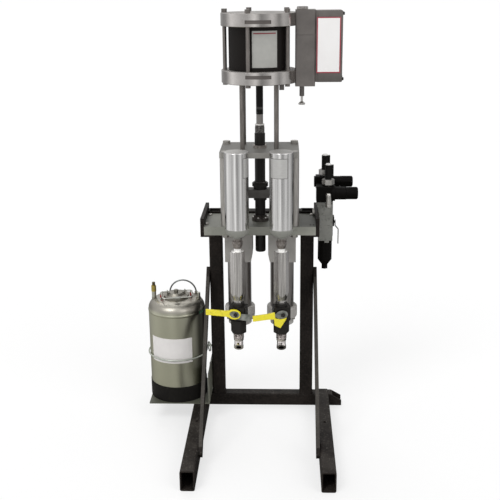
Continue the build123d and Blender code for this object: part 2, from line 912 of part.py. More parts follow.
# Collars that clamp the crosshead on the rod, the upper one flanged
crosshead_top = crosshead_low + crosshead_thick
with BuildPart() as crosshead_collars:
    with Locations((0, drive_y, crosshead_top)):
        Cylinder(top_collar_neck / 2, top_collar_thick, align=seat)
    with Locations((0, drive_y, crosshead_top + top_collar_thick)):
        Cylinder(top_collar_size / 2, top_collar_flange, align=under)
    chamfer(crosshead_collars.edges().group_by(Axis.Z)[-1], cap_edge)
    with Locations((0, drive_y, crosshead_low)):
        Cylinder(low_collar_size / 2, low_collar_thick, align=under)
    with Locations((0, drive_y, crosshead_low - low_collar_thick)):
        Cylinder(
            drive_rod_size / 2 + run_gap,
            low_collar_thick + crosshead_thick + top_collar_thick,
            align=seat,
            mode=Mode.SUBTRACT,
        )
crosshead_collars.part.label = "crosshead_collars"
export_step(crosshead_collars.part, "parts/crosshead_collars.step")

# Pump plungers: shouldered under the crosshead, nut above it, piston in the barrel
with BuildPart() as pump_plungers:
    with Locations((-pump_x, drive_y, 0), (pump_x, drive_y, 0)):
        with Locations((0, 0, pump_piston_low)):
            Cylinder(barrel_bore / 2 - run_gap, pump_piston_thick, align=seat)
            Cylinder(plunger_size / 2, crosshead_low - pump_piston_low, align=seat)
        with Locations((0, 0, crosshead_low)):
            Cylinder(plunger_neck / 2, crosshead_thick, align=seat)
    with BuildSketch(Plane.XY.offset(crosshead_top)):
        with Locations((-pump_x, drive_y), (pump_x, drive_y)):
            RegularPolygon(plunger_nut / 2, 6)
    extrude(amount=plunger_nut_height)
pump_plungers.part.label = "pump_plungers"
export_step(pump_plungers.part, "parts/pump_plungers.step")

# Pump blocks bolted under the pump plate, each tapered at its inner lower corner
with BuildPart() as pump_blocks:
    for side in (-1, 1):
        inner = side * (pump_x - pump_block_width / 2)
        outer = side * (pump_x + pump_block_width / 2)
        with BuildSketch(Plane.XZ.offset(-drive_y - pump_block_depth / 2)):
            with BuildLine():
                Polyline(
                    (inner, pump_plate_low),
                    (inner, pump_block_low + pump_block_taper_height),
                    (inner + side * pump_block_taper, pump_block_low),
                    (outer, pump_block_low),
                    (outer, pump_plate_low),
                    close=True,
                )
            make_face()
        extrude(amount=pump_block_depth)
    with Locations((-pump_x, drive_y, pump_block_low), (pump_x, drive_y, pump_block_low)):
        Cylinder(plunger_size / 2 + run_gap, pump_block_height, align=seat, mode=Mode.SUBTRACT)
    with BuildSketch(Plane.XZ.offset(-drive_y)):
        with Locations((-stack_x, tee_low + tee_height / 2), (stack_x, tee_low + tee_height / 2)):
            Circle(flow_bore / 2)
    extrude(amount=pump_block_depth / 2, mode=Mode.SUBTRACT)
pump_blocks.part.label = "pump_blocks"
export_step(pump_blocks.part, "parts/pump_blocks.step")

# Pump barrels
with BuildPart() as pump_barrels:
    with BuildSketch(Plane.XY.offset(barrel_low)):
        with Locations((-pump_x, drive_y), (pump_x, drive_y)):
            Circle(barrel_size / 2)
            Circle(barrel_bore / 2, mode=Mode.SUBTRACT)
    extrude(amount=barrel_length)
pump_barrels.part.label = "pump_barrels"
export_step(pump_barrels.part, "parts/pump_barrels.step")

# Pump feet: rounded discs over smaller caps, with the material inlet at the back
with BuildPart() as pump_feet:
    with Locations((-pump_x, drive_y, foot_low), (pump_x, drive_y, foot_low)):
        Cylinder(foot_size / 2, foot_thick, align=seat)
    fillet(pump_feet.faces().filter_by(Axis.Z).edges(), foot_edge)
    with Locations((-pump_x, drive_y, foot_low), (pump_x, drive_y, foot_low)):
        Cylinder(foot_cap_size / 2, foot_cap_thick, align=under)
    chamfer(pump_feet.faces().sort_by(Axis.Z)[:2].edges(), cap_edge)
    with BuildSketch(Plane.XZ.offset(-drive_y - foot_size / 2)):
        with Locations((-pump_x, foot_low + foot_thick / 2), (pump_x, foot_low + foot_thick / 2)):
            Circle(inlet_bore / 2)
    extrude(amount=inlet_depth, mode=Mode.SUBTRACT)
pump_feet.part.label = "pump_feet"
export_step(pump_feet.part, "parts/pump_feet.step")

# Surge chambers: tubes closed at the top, open below onto the chamber heads
with BuildPart() as surge_chambers:
    with Locations((-stack_x, stack_y, chamber_low), (stack_x, stack_y, chamber_low)):
        Cylinder(chamber_size / 2, chamber_height, align=seat)
    fillet(surge_chambers.faces().sort_by(Axis.Z)[-2:].edges(), chamber_edge)
    with Locations((-stack_x, stack_y, chamber_low), (stack_x, stack_y, chamber_low)):
        Cylinder(
            chamber_size / 2 - chamber_wall,
            chamber_height - chamber_wall,
            align=seat,
            mode=Mode.SUBTRACT,
        )
surge_chambers.part.label = "surge_chambers"
export_step(surge_chambers.part, "parts/surge_chambers.step")

# Chamber heads: a round bowl under each chamber, its tee, and the arm back to the pump block
with BuildPart() as chamber_heads:
    for side in (-1, 1):
        with BuildSketch(upright(side * stack_x, stack_y)):
            with BuildLine():
                Polyline(
                    (chamber_size / 2, chamber_low),
                    (0, chamber_low),
                    (0, tee_low + tee_height),
                    (dome_neck / 2, tee_low + tee_height),
                    (dome_neck / 2, dome_low),
                )
                RadiusArc(
                    (dome_neck / 2, dome_low),
                    (chamber_size / 2, chamber_low),
                    -dome_height,
                )
            make_face()
        revolve(axis=vertical(side * stack_x, stack_y))
    with BuildSketch(Plane.XY.offset(tee_low)):
        with Locations((-stack_x, stack_y), (stack_x, stack_y)):
            RegularPolygon(tee_corners / 2, 6, rotation=filter_turn)
    extrude(amount=tee_height)
    for side in (-1, 1):
        with BuildSketch(upright(side * stack_x, stack_y)):
            with BuildLine():
                Polyline(
                    (tee_foot / 2, tee_low),
                    (tee_corners, tee_low),
                    (tee_corners, tee_low + tee_taper),
                    (tee_corners / 2, tee_low + tee_taper),
                    close=True,
                )
            make_face()
        revolve(axis=vertical(side * stack_x, stack_y), mode=Mode.SUBTRACT)
    with BuildSketch(Plane.XZ.offset(-drive_y + pump_block_depth / 2)):
        with Locations((-stack_x, tee_low + tee_height / 2), (stack_x, tee_low + tee_height / 2)):
            Circle(tee_arm / 2)
    extrude(amount=stack_ahead - pump_block_depth / 2)
    with BuildSketch(Plane.XZ.offset(-drive_y + pump_block_depth / 2)):
        with Locations((-stack_x, tee_low + tee_height / 2), (stack_x, tee_low + tee_height / 2)):
            Circle(flow_bore / 2)
    extrude(amount=stack_ahead - pump_block_depth / 2, mode=Mode.SUBTRACT)
    with Locations((-stack_x, stack_y, tee_low), (stack_x, stack_y, tee_low)):
        Cylinder(flow_bore / 2, chamber_low - tee_low, align=seat, mode=Mode.SUBTRACT)
    with Locations((-stack_x, stack_y, chamber_low), (stack_x, stack_y, chamber_low)):
        Cylinder(
            chamber_size / 2 - chamber_wall, dome_floor, align=under, mode=Mode.SUBTRACT
        )
chamber_heads.part.label = "chamber_heads"
export_step(chamber_heads.part, "parts/chamber_heads.step")

# Filter bodies: hex bars with a round neck above and a smaller hex below, bored through
with BuildPart() as filter_bodies:
    with Locations((-stack_x, stack_y, filter_top), (stack_x, stack_y, filter_top)):
        Cylinder(filter_neck / 2, filter_neck_height, align=seat)
    with BuildSketch(Plane.XY.offset(filter_low)):
        with Locations((-stack_x, stack_y), (stack_x, stack_y)):
            RegularPolygon(filter_corners / 2, 6, rotation=filter_turn)
    extrude(amount=filter_height)
    for side in (-1, 1):
        with BuildSketch(upright(side * stack_x, stack_y)):
            with BuildLine():
                Polyline(
                    (filter_waist / 2, filter_low),
                    (filter_corners, filter_low),
                    (filter_corners, filter_low + filter_taper),
                    (filter_corners / 2, filter_low + filter_taper),
                    close=True,
                )
            make_face()
            with BuildLine():
                Polyline(
                    (filter_corners / 2, filter_top - filter_edge),
                    (filter_corners, filter_top - filter_edge),
                    (filter_corners, filter_top),
                    (filter_corners / 2 - 2 * filter_edge, filter_top),
                    close=True,
                )
            make_face()
        revolve(axis=vertical(side * stack_x, stack_y), mode=Mode.SUBTRACT)
    with BuildSketch(Plane.XY.offset(valve_top)):
        with Locations((-stack_x, stack_y), (stack_x, stack_y)):
            RegularPolygon(filter_foot_corners / 2, 6, rotation=filter_turn)
    extrude(amount=filter_foot_height)
    with Locations((-stack_x, stack_y, valve_top), (stack_x, stack_y, valve_top)):
        Cylinder(flow_bore / 2, tee_low - valve_top, align=seat, mode=Mode.SUBTRACT)
    with Locations((-stack_x, stack_y, filter_low), (stack_x, stack_y, filter_low)):
        with Locations((0, 0, filter_neck_height)):
            Cylinder(
                filter_bore / 2,
                filter_height - 2 * filter_neck_height,
                align=seat,
                mode=Mode.SUBTRACT,
            )
filter_bodies.part.label = "filter_bodies"
export_step(filter_bodies.part, "parts/filter_bodies.step")

# Ball valves: neck, rounded body, hex union nut, ball seat, stem hole and outlet bore
with BuildPart() as ball_valves:
    for side, hand, valve_turn, droop, reach in stack_hands:
        centre = (side * stack_x, stack_y)
        with Locations((*centre, valve_body_top)):
            Cylinder(valve_neck / 2, valve_neck_height, align=seat)
        with BuildSketch(Plane.XY.offset(valve_body_low)):
            with Locations(centre):
                with Locations(Rotation(0, 0, valve_turn)):
                    RectangleRounded(valve_width, valve_depth, valve_corner)
        extrude(amount=valve_body_height)
    chamfer(ball_valves.edges().group_by(Axis.Z)[0], valve_body_edge)
    with BuildSketch(Plane.XY.offset(valve_nut_low)):
        for side, hand, valve_turn, droop, reach in stack_hands:
            with Locations((side * stack_x, stack_y)):
                RegularPolygon(valve_nut_corners / 2, 6, rotation=valve_turn)
    extrude(amount=valve_nut_height)
    chamfer(ball_valves.edges().group_by(Axis.Z)[0], valve_nut_edge)
    for side, hand, valve_turn, droop, reach in stack_hands:
        stem_way = Vector(sin(radians(valve_turn)), -cos(radians(valve_turn)), 0)
        stem_plane = Plane(origin=(side * stack_x, stack_y, stem_z), z_dir=stem_way)
        with Locations((side * stack_x, stack_y, stem_z)):
            Sphere(ball_size / 2 + ball_gap, mode=Mode.SUBTRACT)
        with BuildSketch(stem_plane):
            Circle(stem_size / 2 + run_gap)
        extrude(amount=valve_width, mode=Mode.SUBTRACT)
        with Locations((side * stack_x, stack_y, valve_nut_low)):
            Cylinder(
                flow_bore / 2, valve_top - valve_nut_low, align=seat, mode=Mode.SUBTRACT
            )
            Cylinder(
                swivel_spigot / 2 + run_gap, swivel_depth, align=seat, mode=Mode.SUBTRACT
            )
ball_valves.part.label = "ball_valves"
export_step(ball_valves.part, "parts/ball_valves.step")

# Levers: a flat handle with an oval head on the ball's stem, the left one with a tail beyond it
for side, hand, valve_turn, droop, reach in stack_hands:
    turn = radians(valve_turn)
    stem_way = Vector(sin(turn), -cos(turn), 0)
    lever_way = Vector(
        -cos(turn) * cos(radians(droop)),
        -sin(turn) * cos(radians(droop)),
        -sin(radians(droop)),
    )
    lever_plane = Plane(
        origin=(side * stack_x, stack_y, stem_z), x_dir=lever_way, z_dir=stem_way
    )
    lever_back = valve_depth / 2 + lever_standoff
    grip_back = lever_back + (lever_thick - grip_thick) / 2
    with BuildPart() as lever:
        with Locations(Plane(origin=lever_plane.origin, z_dir=lever_way)):
            Sphere(ball_size / 2)
            Cylinder(flow_bore / 2, ball_size, mode=Mode.SUBTRACT)
        with BuildSketch(lever_plane.offset(flow_bore / 2 + lever_thick)):
            Circle(stem_size / 2)
        extrude(amount=lever_back - flow_bore / 2 - lever_thick)
        with BuildSketch(lever_plane.offset(lever_back)):
            with Locations((head_middle, 0)):
                Ellipse(head_length / 2, head_height / 2)
            Rectangle(reach, lever_height, align=(Align.MIN, Align.CENTER))
            if hand == "left":
                with BuildLine():
                    Polyline(
                        (0, -head_middle),
                        (-tail_length, -head_middle),
                        (-tail_length, tail_drop - head_middle),
                        (-tail_length + lever_thick, tail_drop),
                        (-head_middle, tail_drop - head_middle),
                        close=True,
                    )
                make_face()
        extrude(amount=lever_thick)
        with BuildSketch(lever_plane.offset(lever_back + lever_thick)):
            RegularPolygon(stem_nut / 2, 6)
        extrude(amount=stem_nut_height)
    lever.part.label = f"{hand}_lever"
    export_step(lever.part, f"parts/{hand}_lever.step")

    with BuildPart() as grip:
        grip_start = left_grip_start if hand == "left" else right_grip_start
        with BuildSketch(lever_plane.offset(grip_back)):
            with BuildLine():
                Polyline(
                    (grip_start, -grip_flare / 2),
                    (grip_start + grip_flare_length, -grip_height / 2),
                    (reach + grip_over, -grip_height / 2),
                    (reach + grip_over, grip_height / 2),
                    (grip_start + grip_flare_length, grip_height / 2),
                    (grip_start, grip_flare / 2),
                    close=True,
                )
            make_face()
            if hand == "left":
                with Locations((head_middle + lever_thick, 0)):
                    Ellipse(grip_head_length / 2, grip_head_height / 2)
                with Locations((head_middle, 0)):
                    Ellipse(grip_window_length / 2, grip_window_height / 2, mode=Mode.SUBTRACT)
        extrude(amount=grip_thick)
        ends = grip.faces().filter_by(Axis(lever_plane.origin, stem_way))
        fillet(ends.edges(), grip_edge)
        if hand == "right":
            with BuildSketch(lever_plane.offset(lever_back + lever_thick)):
                with BuildLine():
                    Polyline(
                        (grip_start + grip_over, lever_height / 2),
                        (grip_start + grip_over, lock_low - lever_height),
                        (lever_height, lock_low),
                        (-grip_over, lock_low / 2),
                        (-stem_size, stem_size),
                        (0, lock_top),
                        (stem_size, lock_top),
                        close=True,
                    )
                make_face()
            extrude(amount=lever_thick)
        with BuildSketch(lever_plane.offset(lever_back)):
            with Locations((head_middle, 0)):
                Ellipse(head_length / 2, head_height / 2)
            Rectangle(reach, lever_height, align=(Align.MIN, Align.CENTER))
            if hand == "left":
                with Locations((0, tail_drop / 2 - head_middle)):
                    Rectangle(tail_length, tail_drop, align=(Align.MAX, Align.CENTER))
        extrude(amount=lever_thick, mode=Mode.SUBTRACT)
    grip.part.label = f"{hand}_grip"
    export_step(grip.part, f"parts/{hand}_grip.step")

# Outlets: a spigot in the union nut, a turned body and a pipe bent towards the front
for side, hand in ((-1, "left"), (1, "right")):
    bend_top = outlet_top - outlet_straight
    with BuildPart() as outlet:
        with Locations((side * stack_x, stack_y, outlet_top)):
            Cylinder(swivel_spigot / 2, swivel_depth, align=seat)
            Cylinder(outlet_size / 2, outlet_straight, align=under)
        chamfer(outlet.edges().group_by(Axis.Z)[0], cap_edge)
        with BuildLine(Plane.YZ.offset(side * stack_x)) as bend:
            CenterArc((stack_y - outlet_bend, bend_top), outlet_bend, 0, -outlet_turn)
        with BuildSketch(Plane.XY.offset(bend_top)):
            with Locations((side * stack_x, stack_y)):
                Circle(outlet_pipe / 2)
        sweep(path=bend.line)
        mouth = Plane(origin=bend.line @ 1, z_dir=bend.line % 1)
        with BuildSketch(mouth.offset(-outlet_lip_length / 2)):
            Circle(outlet_lip / 2)
        extrude(amount=outlet_lip_length)
        with BuildSketch(mouth.offset(outlet_lip_length / 2)):
            Circle(outlet_bore / 2)
        extrude(amount=-outlet_lip_length / 2, mode=Mode.SUBTRACT)
        with BuildSketch(Plane.XY.offset(bend_top)):
            with Locations((side * stack_x, stack_y)):
                Circle(outlet_bore / 2)
        sweep(path=bend.line, mode=Mode.SUBTRACT)
        with Locations((side * stack_x, stack_y, bend_top)):
            Cylinder(
                flow_bore / 2, outlet_straight + swivel_depth, align=seat, mode=Mode.SUBTRACT
            )
    outlet.part.label = f"{hand}_outlet"
    export_step(outlet.part, f"parts/{hand}_outlet.step")

# Air bracket: an upright plate with a slanted corner, and a flange bolted to the side bracket
with BuildPart() as air_bracket:
    with BuildSketch(Plane.XZ.offset(-air_back)):
        with BuildLine():
            Polyline(
                (air_plate_left, air_plate_low),
                (air_plate_left + air_plate_width, air_plate_low),
                (air_plate_left + air_plate_width, air_plate_top),
                (air_plate_left - air_plate_over, air_plate_top),
                (air_plate_left - air_plate_over, air_plate_top - air_plate_slant),
                (air_plate_left, air_plate_top - 2 * air_plate_slant),
                close=True,
            )
        make_face()
    extrude(amount=air_plate_thick)
    with Locations((air_plate_left, air_back, air_flange_low)):
        Box(
            air_plate_thick,
            air_flange_depth,
            air_flange_height,
            align=(Align.MIN, Align.MIN, Align.MIN),
        )
    with BuildSketch(Plane.YZ.offset(air_plate_left)):
        with Locations((air_bolt_y, air_bolt_z)):
            with GridLocations(air_bolt_gap, 0, 2, 1):
                Circle(frame_bolt / 2 + hole_gap)
    extrude(amount=air_plate_thick, mode=Mode.SUBTRACT)
air_bracket.part.label = "air_bracket"
export_step(air_bracket.part, "parts/air_bracket.step")

# Air filter: square head, round bowl with a cone below it and the drain boss
with BuildPart() as air_filter:
    with Locations((air_x, filter_y, filter_head_low)):
        Box(filter_head_width, filter_head_depth, filter_head_height, align=seat)
    chamfer(air_filter.edges().filter_by(Axis.Z), reg_edge)
    with BuildSketch(upright(air_x, filter_y)):
        with BuildLine():
            Polyline(
                (0, filter_head_low),
                (bowl_size / 2, filter_head_low),
                (bowl_size / 2, bowl_low),
                (bowl_foot / 2, drain_top),
                (0, drain_top),
                close=True,
            )
        make_face()
    revolve(axis=vertical(air_x, filter_y))
    with Locations((air_x, filter_y, drain_top)):
        Cylinder(
            drain_bore / 2 + run_gap, drain_bore_depth + hole_gap, align=seat, mode=Mode.SUBTRACT
        )
air_filter.part.label = "air_filter"
export_step(air_filter.part, "parts/air_filter.step")

# Drain cock: a winged knob on a stem in the bowl
with BuildPart() as drain_cock:
    with Locations((air_x, filter_y, drain_top - swivel_gap)):
        Cylinder(drain_bore / 2, drain_bore_depth, align=seat)
        Cylinder(drain_bore, drain_wing_height, align=under)
        Box(drain_wing, drain_bore, drain_wing_height, align=under)
drain_cock.part.label = "drain_cock"
export_step(drain_cock.part, "parts/drain_cock.step")

# Air shut-off valve on the filter head, with the air inlet at its back
air_inlet_x = air_valve_right - air_valve_width / 2
air_inlet_z = filter_head_top + air_valve_height / 2
with BuildPart() as air_valve:
    with Locations((air_valve_right, filter_y, filter_head_top)):
        Box(
            air_valve_width,
            air_valve_depth,
            air_valve_height,
            align=(Align.MAX, Align.CENTER, Align.MIN),
        )
    chamfer(air_valve.edges().filter_by(Axis.X), air_valve_edge)
    with BuildSketch(Plane.YZ.offset(air_valve_right)):
        with Locations((filter_y, filter_head_top + air_stem_height)):
            Circle(air_stem / 2 + run_gap)
    extrude(amount=-air_stem_in - hole_gap, mode=Mode.SUBTRACT)
    with BuildSketch(Plane.XZ.offset(-filter_y - air_valve_depth / 2)):
        with Locations((air_inlet_x, air_inlet_z)):
            Circle(air_inlet_bore / 2)
    extrude(amount=air_inlet_depth, mode=Mode.SUBTRACT)
air_valve.part.label = "air_valve"
export_step(air_valve.part, "parts/air_valve.step")

# Shut-off lever: a bent strip on a round stem
lever_out = air_valve_right + air_stem_out
lever_z = filter_head_top + air_stem_height
with BuildPart() as air_valve_lever:
    with BuildSketch(Plane.YZ.offset(air_valve_right - air_stem_in)):
        with Locations((filter_y, lever_z)):
            Circle(air_stem / 2)
    extrude(amount=air_stem_in + air_stem_out + air_lever_thick)
    with BuildSketch(Plane.XZ.offset(-filter_y + air_lever_width / 2)):
        with BuildLine():
            Polyline(
                (lever_out, lever_z + air_lever_width / 2),
                (lever_out + air_lever_thick, lever_z + air_lever_width / 2),
                (lever_out + air_lever_thick, lever_z - air_lever_width),
                (lever_out + air_lever_thick + air_lever_kick, lever_z - 2 * air_lever_width),
                (lever_out + air_lever_thick + air_lever_kick, lever_z - air_lever_drop),
                (lever_out + air_lever_kick, lever_z - air_lever_drop),
                (lever_out + air_lever_kick, lever_z - 2 * air_lever_width),
                (lever_out, lever_z - air_lever_width),
                close=True,
            )
        make_face()
    extrude(amount=-air_lever_width)
air_valve_lever.part.label = "air_valve_lever"
export_step(air_valve_lever.part, "parts/air_valve_lever.step")

# Regulators: square bodies with flanged round bonnets to the right, the rear one higher up
front_knob_z = air_plate_top + front_reg_height / 2
rear_knob_z = rear_reg_low + rear_reg_height / 2
front_bonnet_right = reg_left + front_reg_width + front_bonnet_length
rear_bonnet_right = reg_left + rear_reg_width + rear_bonnet_length
with BuildPart() as air_regulators:
    with Locations((front_reg_x, front_reg_y, air_plate_top)):
        Box(front_reg_width, front_reg_depth, front_reg_height, align=seat)
    with Locations((reg_left + rear_reg_width / 2, rear_reg_y, rear_reg_low)):
        Box(rear_reg_width, rear_reg_depth, rear_reg_height, align=seat)
    chamfer(air_regulators.edges().filter_by(Axis.X), reg_edge)
    for body_right, reg_y, knob_z, flange, bonnet, bonnet_right in (
        (
            reg_left + front_reg_width,
            front_reg_y,
            front_knob_z,
            front_bonnet_flange,
            front_bonnet,
            front_bonnet_right,
        ),
        (
            reg_left + rear_reg_width,
            rear_reg_y,
            rear_knob_z,
            rear_bonnet_flange,
            rear_bonnet,
            rear_bonnet_right,
        ),
    ):
        with BuildSketch(Plane.YZ.offset(body_right)):
            with Locations((reg_y, knob_z)):
                Circle(flange / 2)
        extrude(amount=bonnet_flange_thick)
        with BuildSketch(Plane.YZ.offset(body_right + bonnet_flange_thick)):
            with Locations((reg_y, knob_z)):
                Circle(bonnet / 2)
        extrude(amount=bonnet_right - body_right - bonnet_flange_thick)
        with BuildSketch(Plane.YZ.offset(bonnet_right)):
            with Locations((reg_y, knob_z)):
                Circle(knob_stem / 2 + run_gap)
        extrude(amount=-knob_stem_in - hole_gap, mode=Mode.SUBTRACT)
    with BuildSketch(Plane.YZ.offset(reg_left)):
        with Locations((rear_reg_y, rear_knob_z)):
            Circle(rear_tail_size / 2)
    extrude(amount=-rear_tail_length)
air_regulators.part.label = "air_regulators"
export_step(air_regulators.part, "parts/air_regulators.step")

# Regulator knobs, grooved round their grip, each on a stem in its bonnet
for place, bonnet_right, knob_y, knob_z, size, length in (
    ("front", front_bonnet_right, front_reg_y, front_knob_z, front_knob_size, front_knob_length),
    ("rear", rear_bonnet_right, rear_reg_y, rear_knob_z, rear_knob_size, rear_knob_length),
):
    with BuildPart() as knob:
        with BuildSketch(Plane.YZ.offset(bonnet_right + knob_gap)):
            with Locations((knob_y, knob_z)):
                Circle(size / 2)
        extrude(amount=length)
        chamfer(knob.faces().sort_by(Axis.X)[-1].edges(), knob_edge)
        with BuildSketch(Plane.YZ.offset(bonnet_right + knob_gap + length / 4)):
            with Locations((knob_y, knob_z)):
                with PolarLocations(size / 2, knob_grooves):
                    Rectangle(2 * knob_groove, knob_groove_width)
        extrude(amount=length, mode=Mode.SUBTRACT)
        with BuildSketch(Plane.YZ.offset(bonnet_right - knob_stem_in)):
            with Locations((knob_y, knob_z)):
                Circle(knob_stem / 2)
        extrude(amount=knob_stem_in + knob_gap)
    knob.part.label = f"{place}_knob"
    export_step(knob.part, f"parts/{place}_knob.step")

# Air fittings: push-in fittings on both regulators, the link between them, a front elbow
with BuildPart() as air_fittings:
    for fitting_x, fitting_y, fitting_z in (
        (push_x, front_reg_y, front_reg_top),
        (reg_left + rear_push_from_left, rear_reg_y, rear_reg_top),
    ):
        with Locations((fitting_x, fitting_y, fitting_z)):
            Cylinder(push_nipple / 2, push_nipple_height, align=seat)
        with BuildSketch(Plane.XY.offset(fitting_z + push_nipple_height)):
            with Locations((fitting_x, fitting_y)):
                RegularPolygon(push_hex / 2, 6)
        extrude(amount=push_hex_height)
        with Locations((fitting_x, fitting_y, fitting_z + push_nipple_height + push_hex_height)):
            Cylinder(push_body / 2, push_body_height, align=seat)
            Cylinder(push_collar / 2, push_body_height + push_collar_height, align=seat)
            with Locations((push_lug / 2, 0, push_body_height - push_lug_height)):
                Box(push_lug, push_lug_width, push_lug_height, align=seat)
    with BuildSketch(Plane.XZ.offset(-front_reg_y - front_reg_depth / 2)):
        with Locations((front_reg_x, (rear_reg_low + front_reg_top) / 2)):
            Circle(link_size / 2)
    extrude(amount=front_reg_y + front_reg_depth / 2 - rear_reg_y + rear_reg_depth / 2)
    with BuildSketch(Plane.XZ.offset(-front_reg_y + front_reg_depth / 2)):
        with Locations((push_x, front_knob_z)):
            Circle(gauge_pipe / 2)
    extrude(amount=gauge_out)
    with Locations((push_x, front_reg_y - front_reg_depth / 2 - gauge_out, front_knob_z)):
        Sphere(gauge_pipe / 2)
        Cylinder(gauge_pipe / 2, gauge_drop, align=under)
        with Locations((0, 0, -gauge_drop)):
            Cylinder(gauge_hex / 2, gauge_hex_height, align=seat)
air_fittings.part.label = "air_fittings"
export_step(air_fittings.part, "parts/air_fittings.step")

# Tank shelf: a plate on the left leg with an upturned flange against the post
with BuildPart() as tank_shelf:
    with BuildSketch(Plane.XY.offset(leg_height)):
        with Locations((shelf_left, shelf_front)):
            Rectangle(
                -post_outer - shelf_left, shelf_back - shelf_front, align=(Align.MIN, Align.MIN)
            )
    extrude(amount=shelf_thick)
    with BuildSketch(Plane.XY.offset(leg_height)):
        with Locations((-post_outer, shelf_front)):
            Rectangle(
                shelf_thick, tube / 2 - shelf_front, align=(Align.MAX, Align.MIN)
            )
    extrude(amount=flange_height)
    with BuildSketch(Plane.YZ.offset(-post_outer)):
        with Locations((0, shelf_bolt_z)):
            with GridLocations(0, shelf_bolt_gap, 1, 2):
                Circle(frame_bolt / 2 + hole_gap)
    extrude(amount=-shelf_thick, mode=Mode.SUBTRACT)
tank_shelf.part.label = "tank_shelf"
export_step(tank_shelf.part, "parts/tank_shelf.step")

# Hoop: a wire ring round the tank, a lug to the post and an eye ring on the lug
with BuildPart() as tank_hoop:
    with BuildSketch(upright(tank_x, tank_y)):
        with Locations((hoop_radius, hoop_z)):
            Circle(hoop_wire / 2)
    revolve(axis=vertical(tank_x, tank_y))
    lug_left = tank_x + hoop_radius - hoop_wire
    with Locations((-post_outer, lug_y, hoop_z)):
        Box(
            -post_outer - lug_left,
            lug_depth,
            hoop_wire,
            align=(Align.MAX, Align.CENTER, Align.CENTER),
        )
    eye_place = Plane(
        origin=(-post_outer - eye_out, lug_y - lug_depth / 2 - eye_radius, hoop_z + eye_rise),
        z_dir=(cos(radians(eye_turn)), sin(radians(eye_turn)), 0),
    )
    with Locations(eye_place):
        Torus(eye_radius, eye_wire / 2)
tank_hoop.part.label = "tank_hoop"
export_step(tank_hoop.part, "parts/tank_hoop.step")

# Tank boot: a rubber cup under the shell
with BuildPart() as tank_boot:
    with Locations((tank_x, tank_y, tank_low)):
        Cylinder(boot_radius, boot_height, align=seat)
        with Locations((0, 0, boot_floor)):
            Cylinder(tank_radius, boot_height, align=seat, mode=Mode.SUBTRACT)
tank_boot.part.label = "tank_boot"
export_step(tank_boot.part, "parts/tank_boot.step")

# Tank shell: thin steel vessel with a rolled seam, a domed top, a collar and welded bosses
gas_post_x = tank_x - post_reach
liquid_post_x = tank_x + post_reach
with BuildPart() as tank_shell:
    with BuildSketch(upright(tank_x, tank_y)):
        with BuildLine():
            Polyline(
                (tank_radius, seam_z),
                (tank_radius, shell_low),
                (0, shell_low),
                (0, collar_top),
                (collar_radius, collar_top),
                (collar_radius, collar_foot_z),
                (collar_foot_radius, collar_foot_z),
                (shoulder_radius, shoulder_z),
            )
            TangentArc(
                (shoulder_radius, shoulder_z),
                (tank_radius, seam_z),
                tangent=(shoulder_radius - collar_foot_radius, shoulder_z - collar_foot_z),
            )
        make_face()
    revolve(axis=vertical(tank_x, tank_y))
    offset(amount=-tank_wall, openings=tank_shell.faces().sort_by(Axis.Z)[-1])
    with BuildSketch(upright(tank_x, tank_y)):
        with Locations((tank_radius - seam_size / 2 + seam_bulge, seam_z)):
            Ellipse(seam_size / 2, seam_size)
        with Locations((0, seam_z)):
            Rectangle(
                2 * (tank_radius - tank_wall), 3 * seam_size, mode=Mode.SUBTRACT
            )
    revolve(axis=vertical(tank_x, tank_y))
    for way in (-1, 1):
        with Locations((handle_x + way * handle_half, handle_y, handle_boss_top)):
            Cylinder(handle_boss / 2, boss_depth, align=under)
        with Locations((tank_x + way * post_reach, tank_y, gas_boss_top)):
            Cylinder(gas_boss / 2, boss_depth, align=under)
tank_shell.part.label = "tank_shell"
export_step(tank_shell.part, "parts/tank_shell.step")

# Tank fittings: a tall post with a brass coupling at the left, a low steel one at the right
with BuildPart() as tank_fittings:
    with Locations((gas_post_x, tank_y, gas_boss_top)):
        Cylinder(gas_post / 2, gas_post_top - gas_boss_top, align=seat)
    with Locations((gas_post_x, tank_y, gas_post_top)):
        Cylinder(gas_brass / 2, gas_brass_height, align=seat)
        Cylinder(gas_tip / 2, gas_brass_height + gas_tip_height, align=seat)
    with Locations((liquid_post_x, tank_y, gas_boss_top)):
        Cylinder(liquid_post / 2, liquid_post_height, align=seat)
tank_fittings.part.label = "tank_fittings"
export_step(tank_fittings.part, "parts/tank_fittings.step")

# Carrying handle: a wire arch whose ends stand flat on two welded bosses
with BuildPart() as carry_handle:
    with BuildLine(Plane.XZ.offset(-handle_y)) as arch:
        ThreePointArc(
            (handle_x - handle_half, handle_boss_top - handle_wire / 2),
            (handle_x, handle_top),
            (handle_x + handle_half, handle_boss_top - handle_wire / 2),
        )
    with BuildSketch(Plane(origin=arch.line @ 0, z_dir=arch.line % 0)):
        Circle(handle_wire / 2)
    sweep(path=arch.line)
    split(bisect_by=Plane.XY.offset(handle_boss_top), keep=Keep.TOP)
carry_handle.part.label = "carry_handle"
export_step(carry_handle.part, "parts/carry_handle.step")

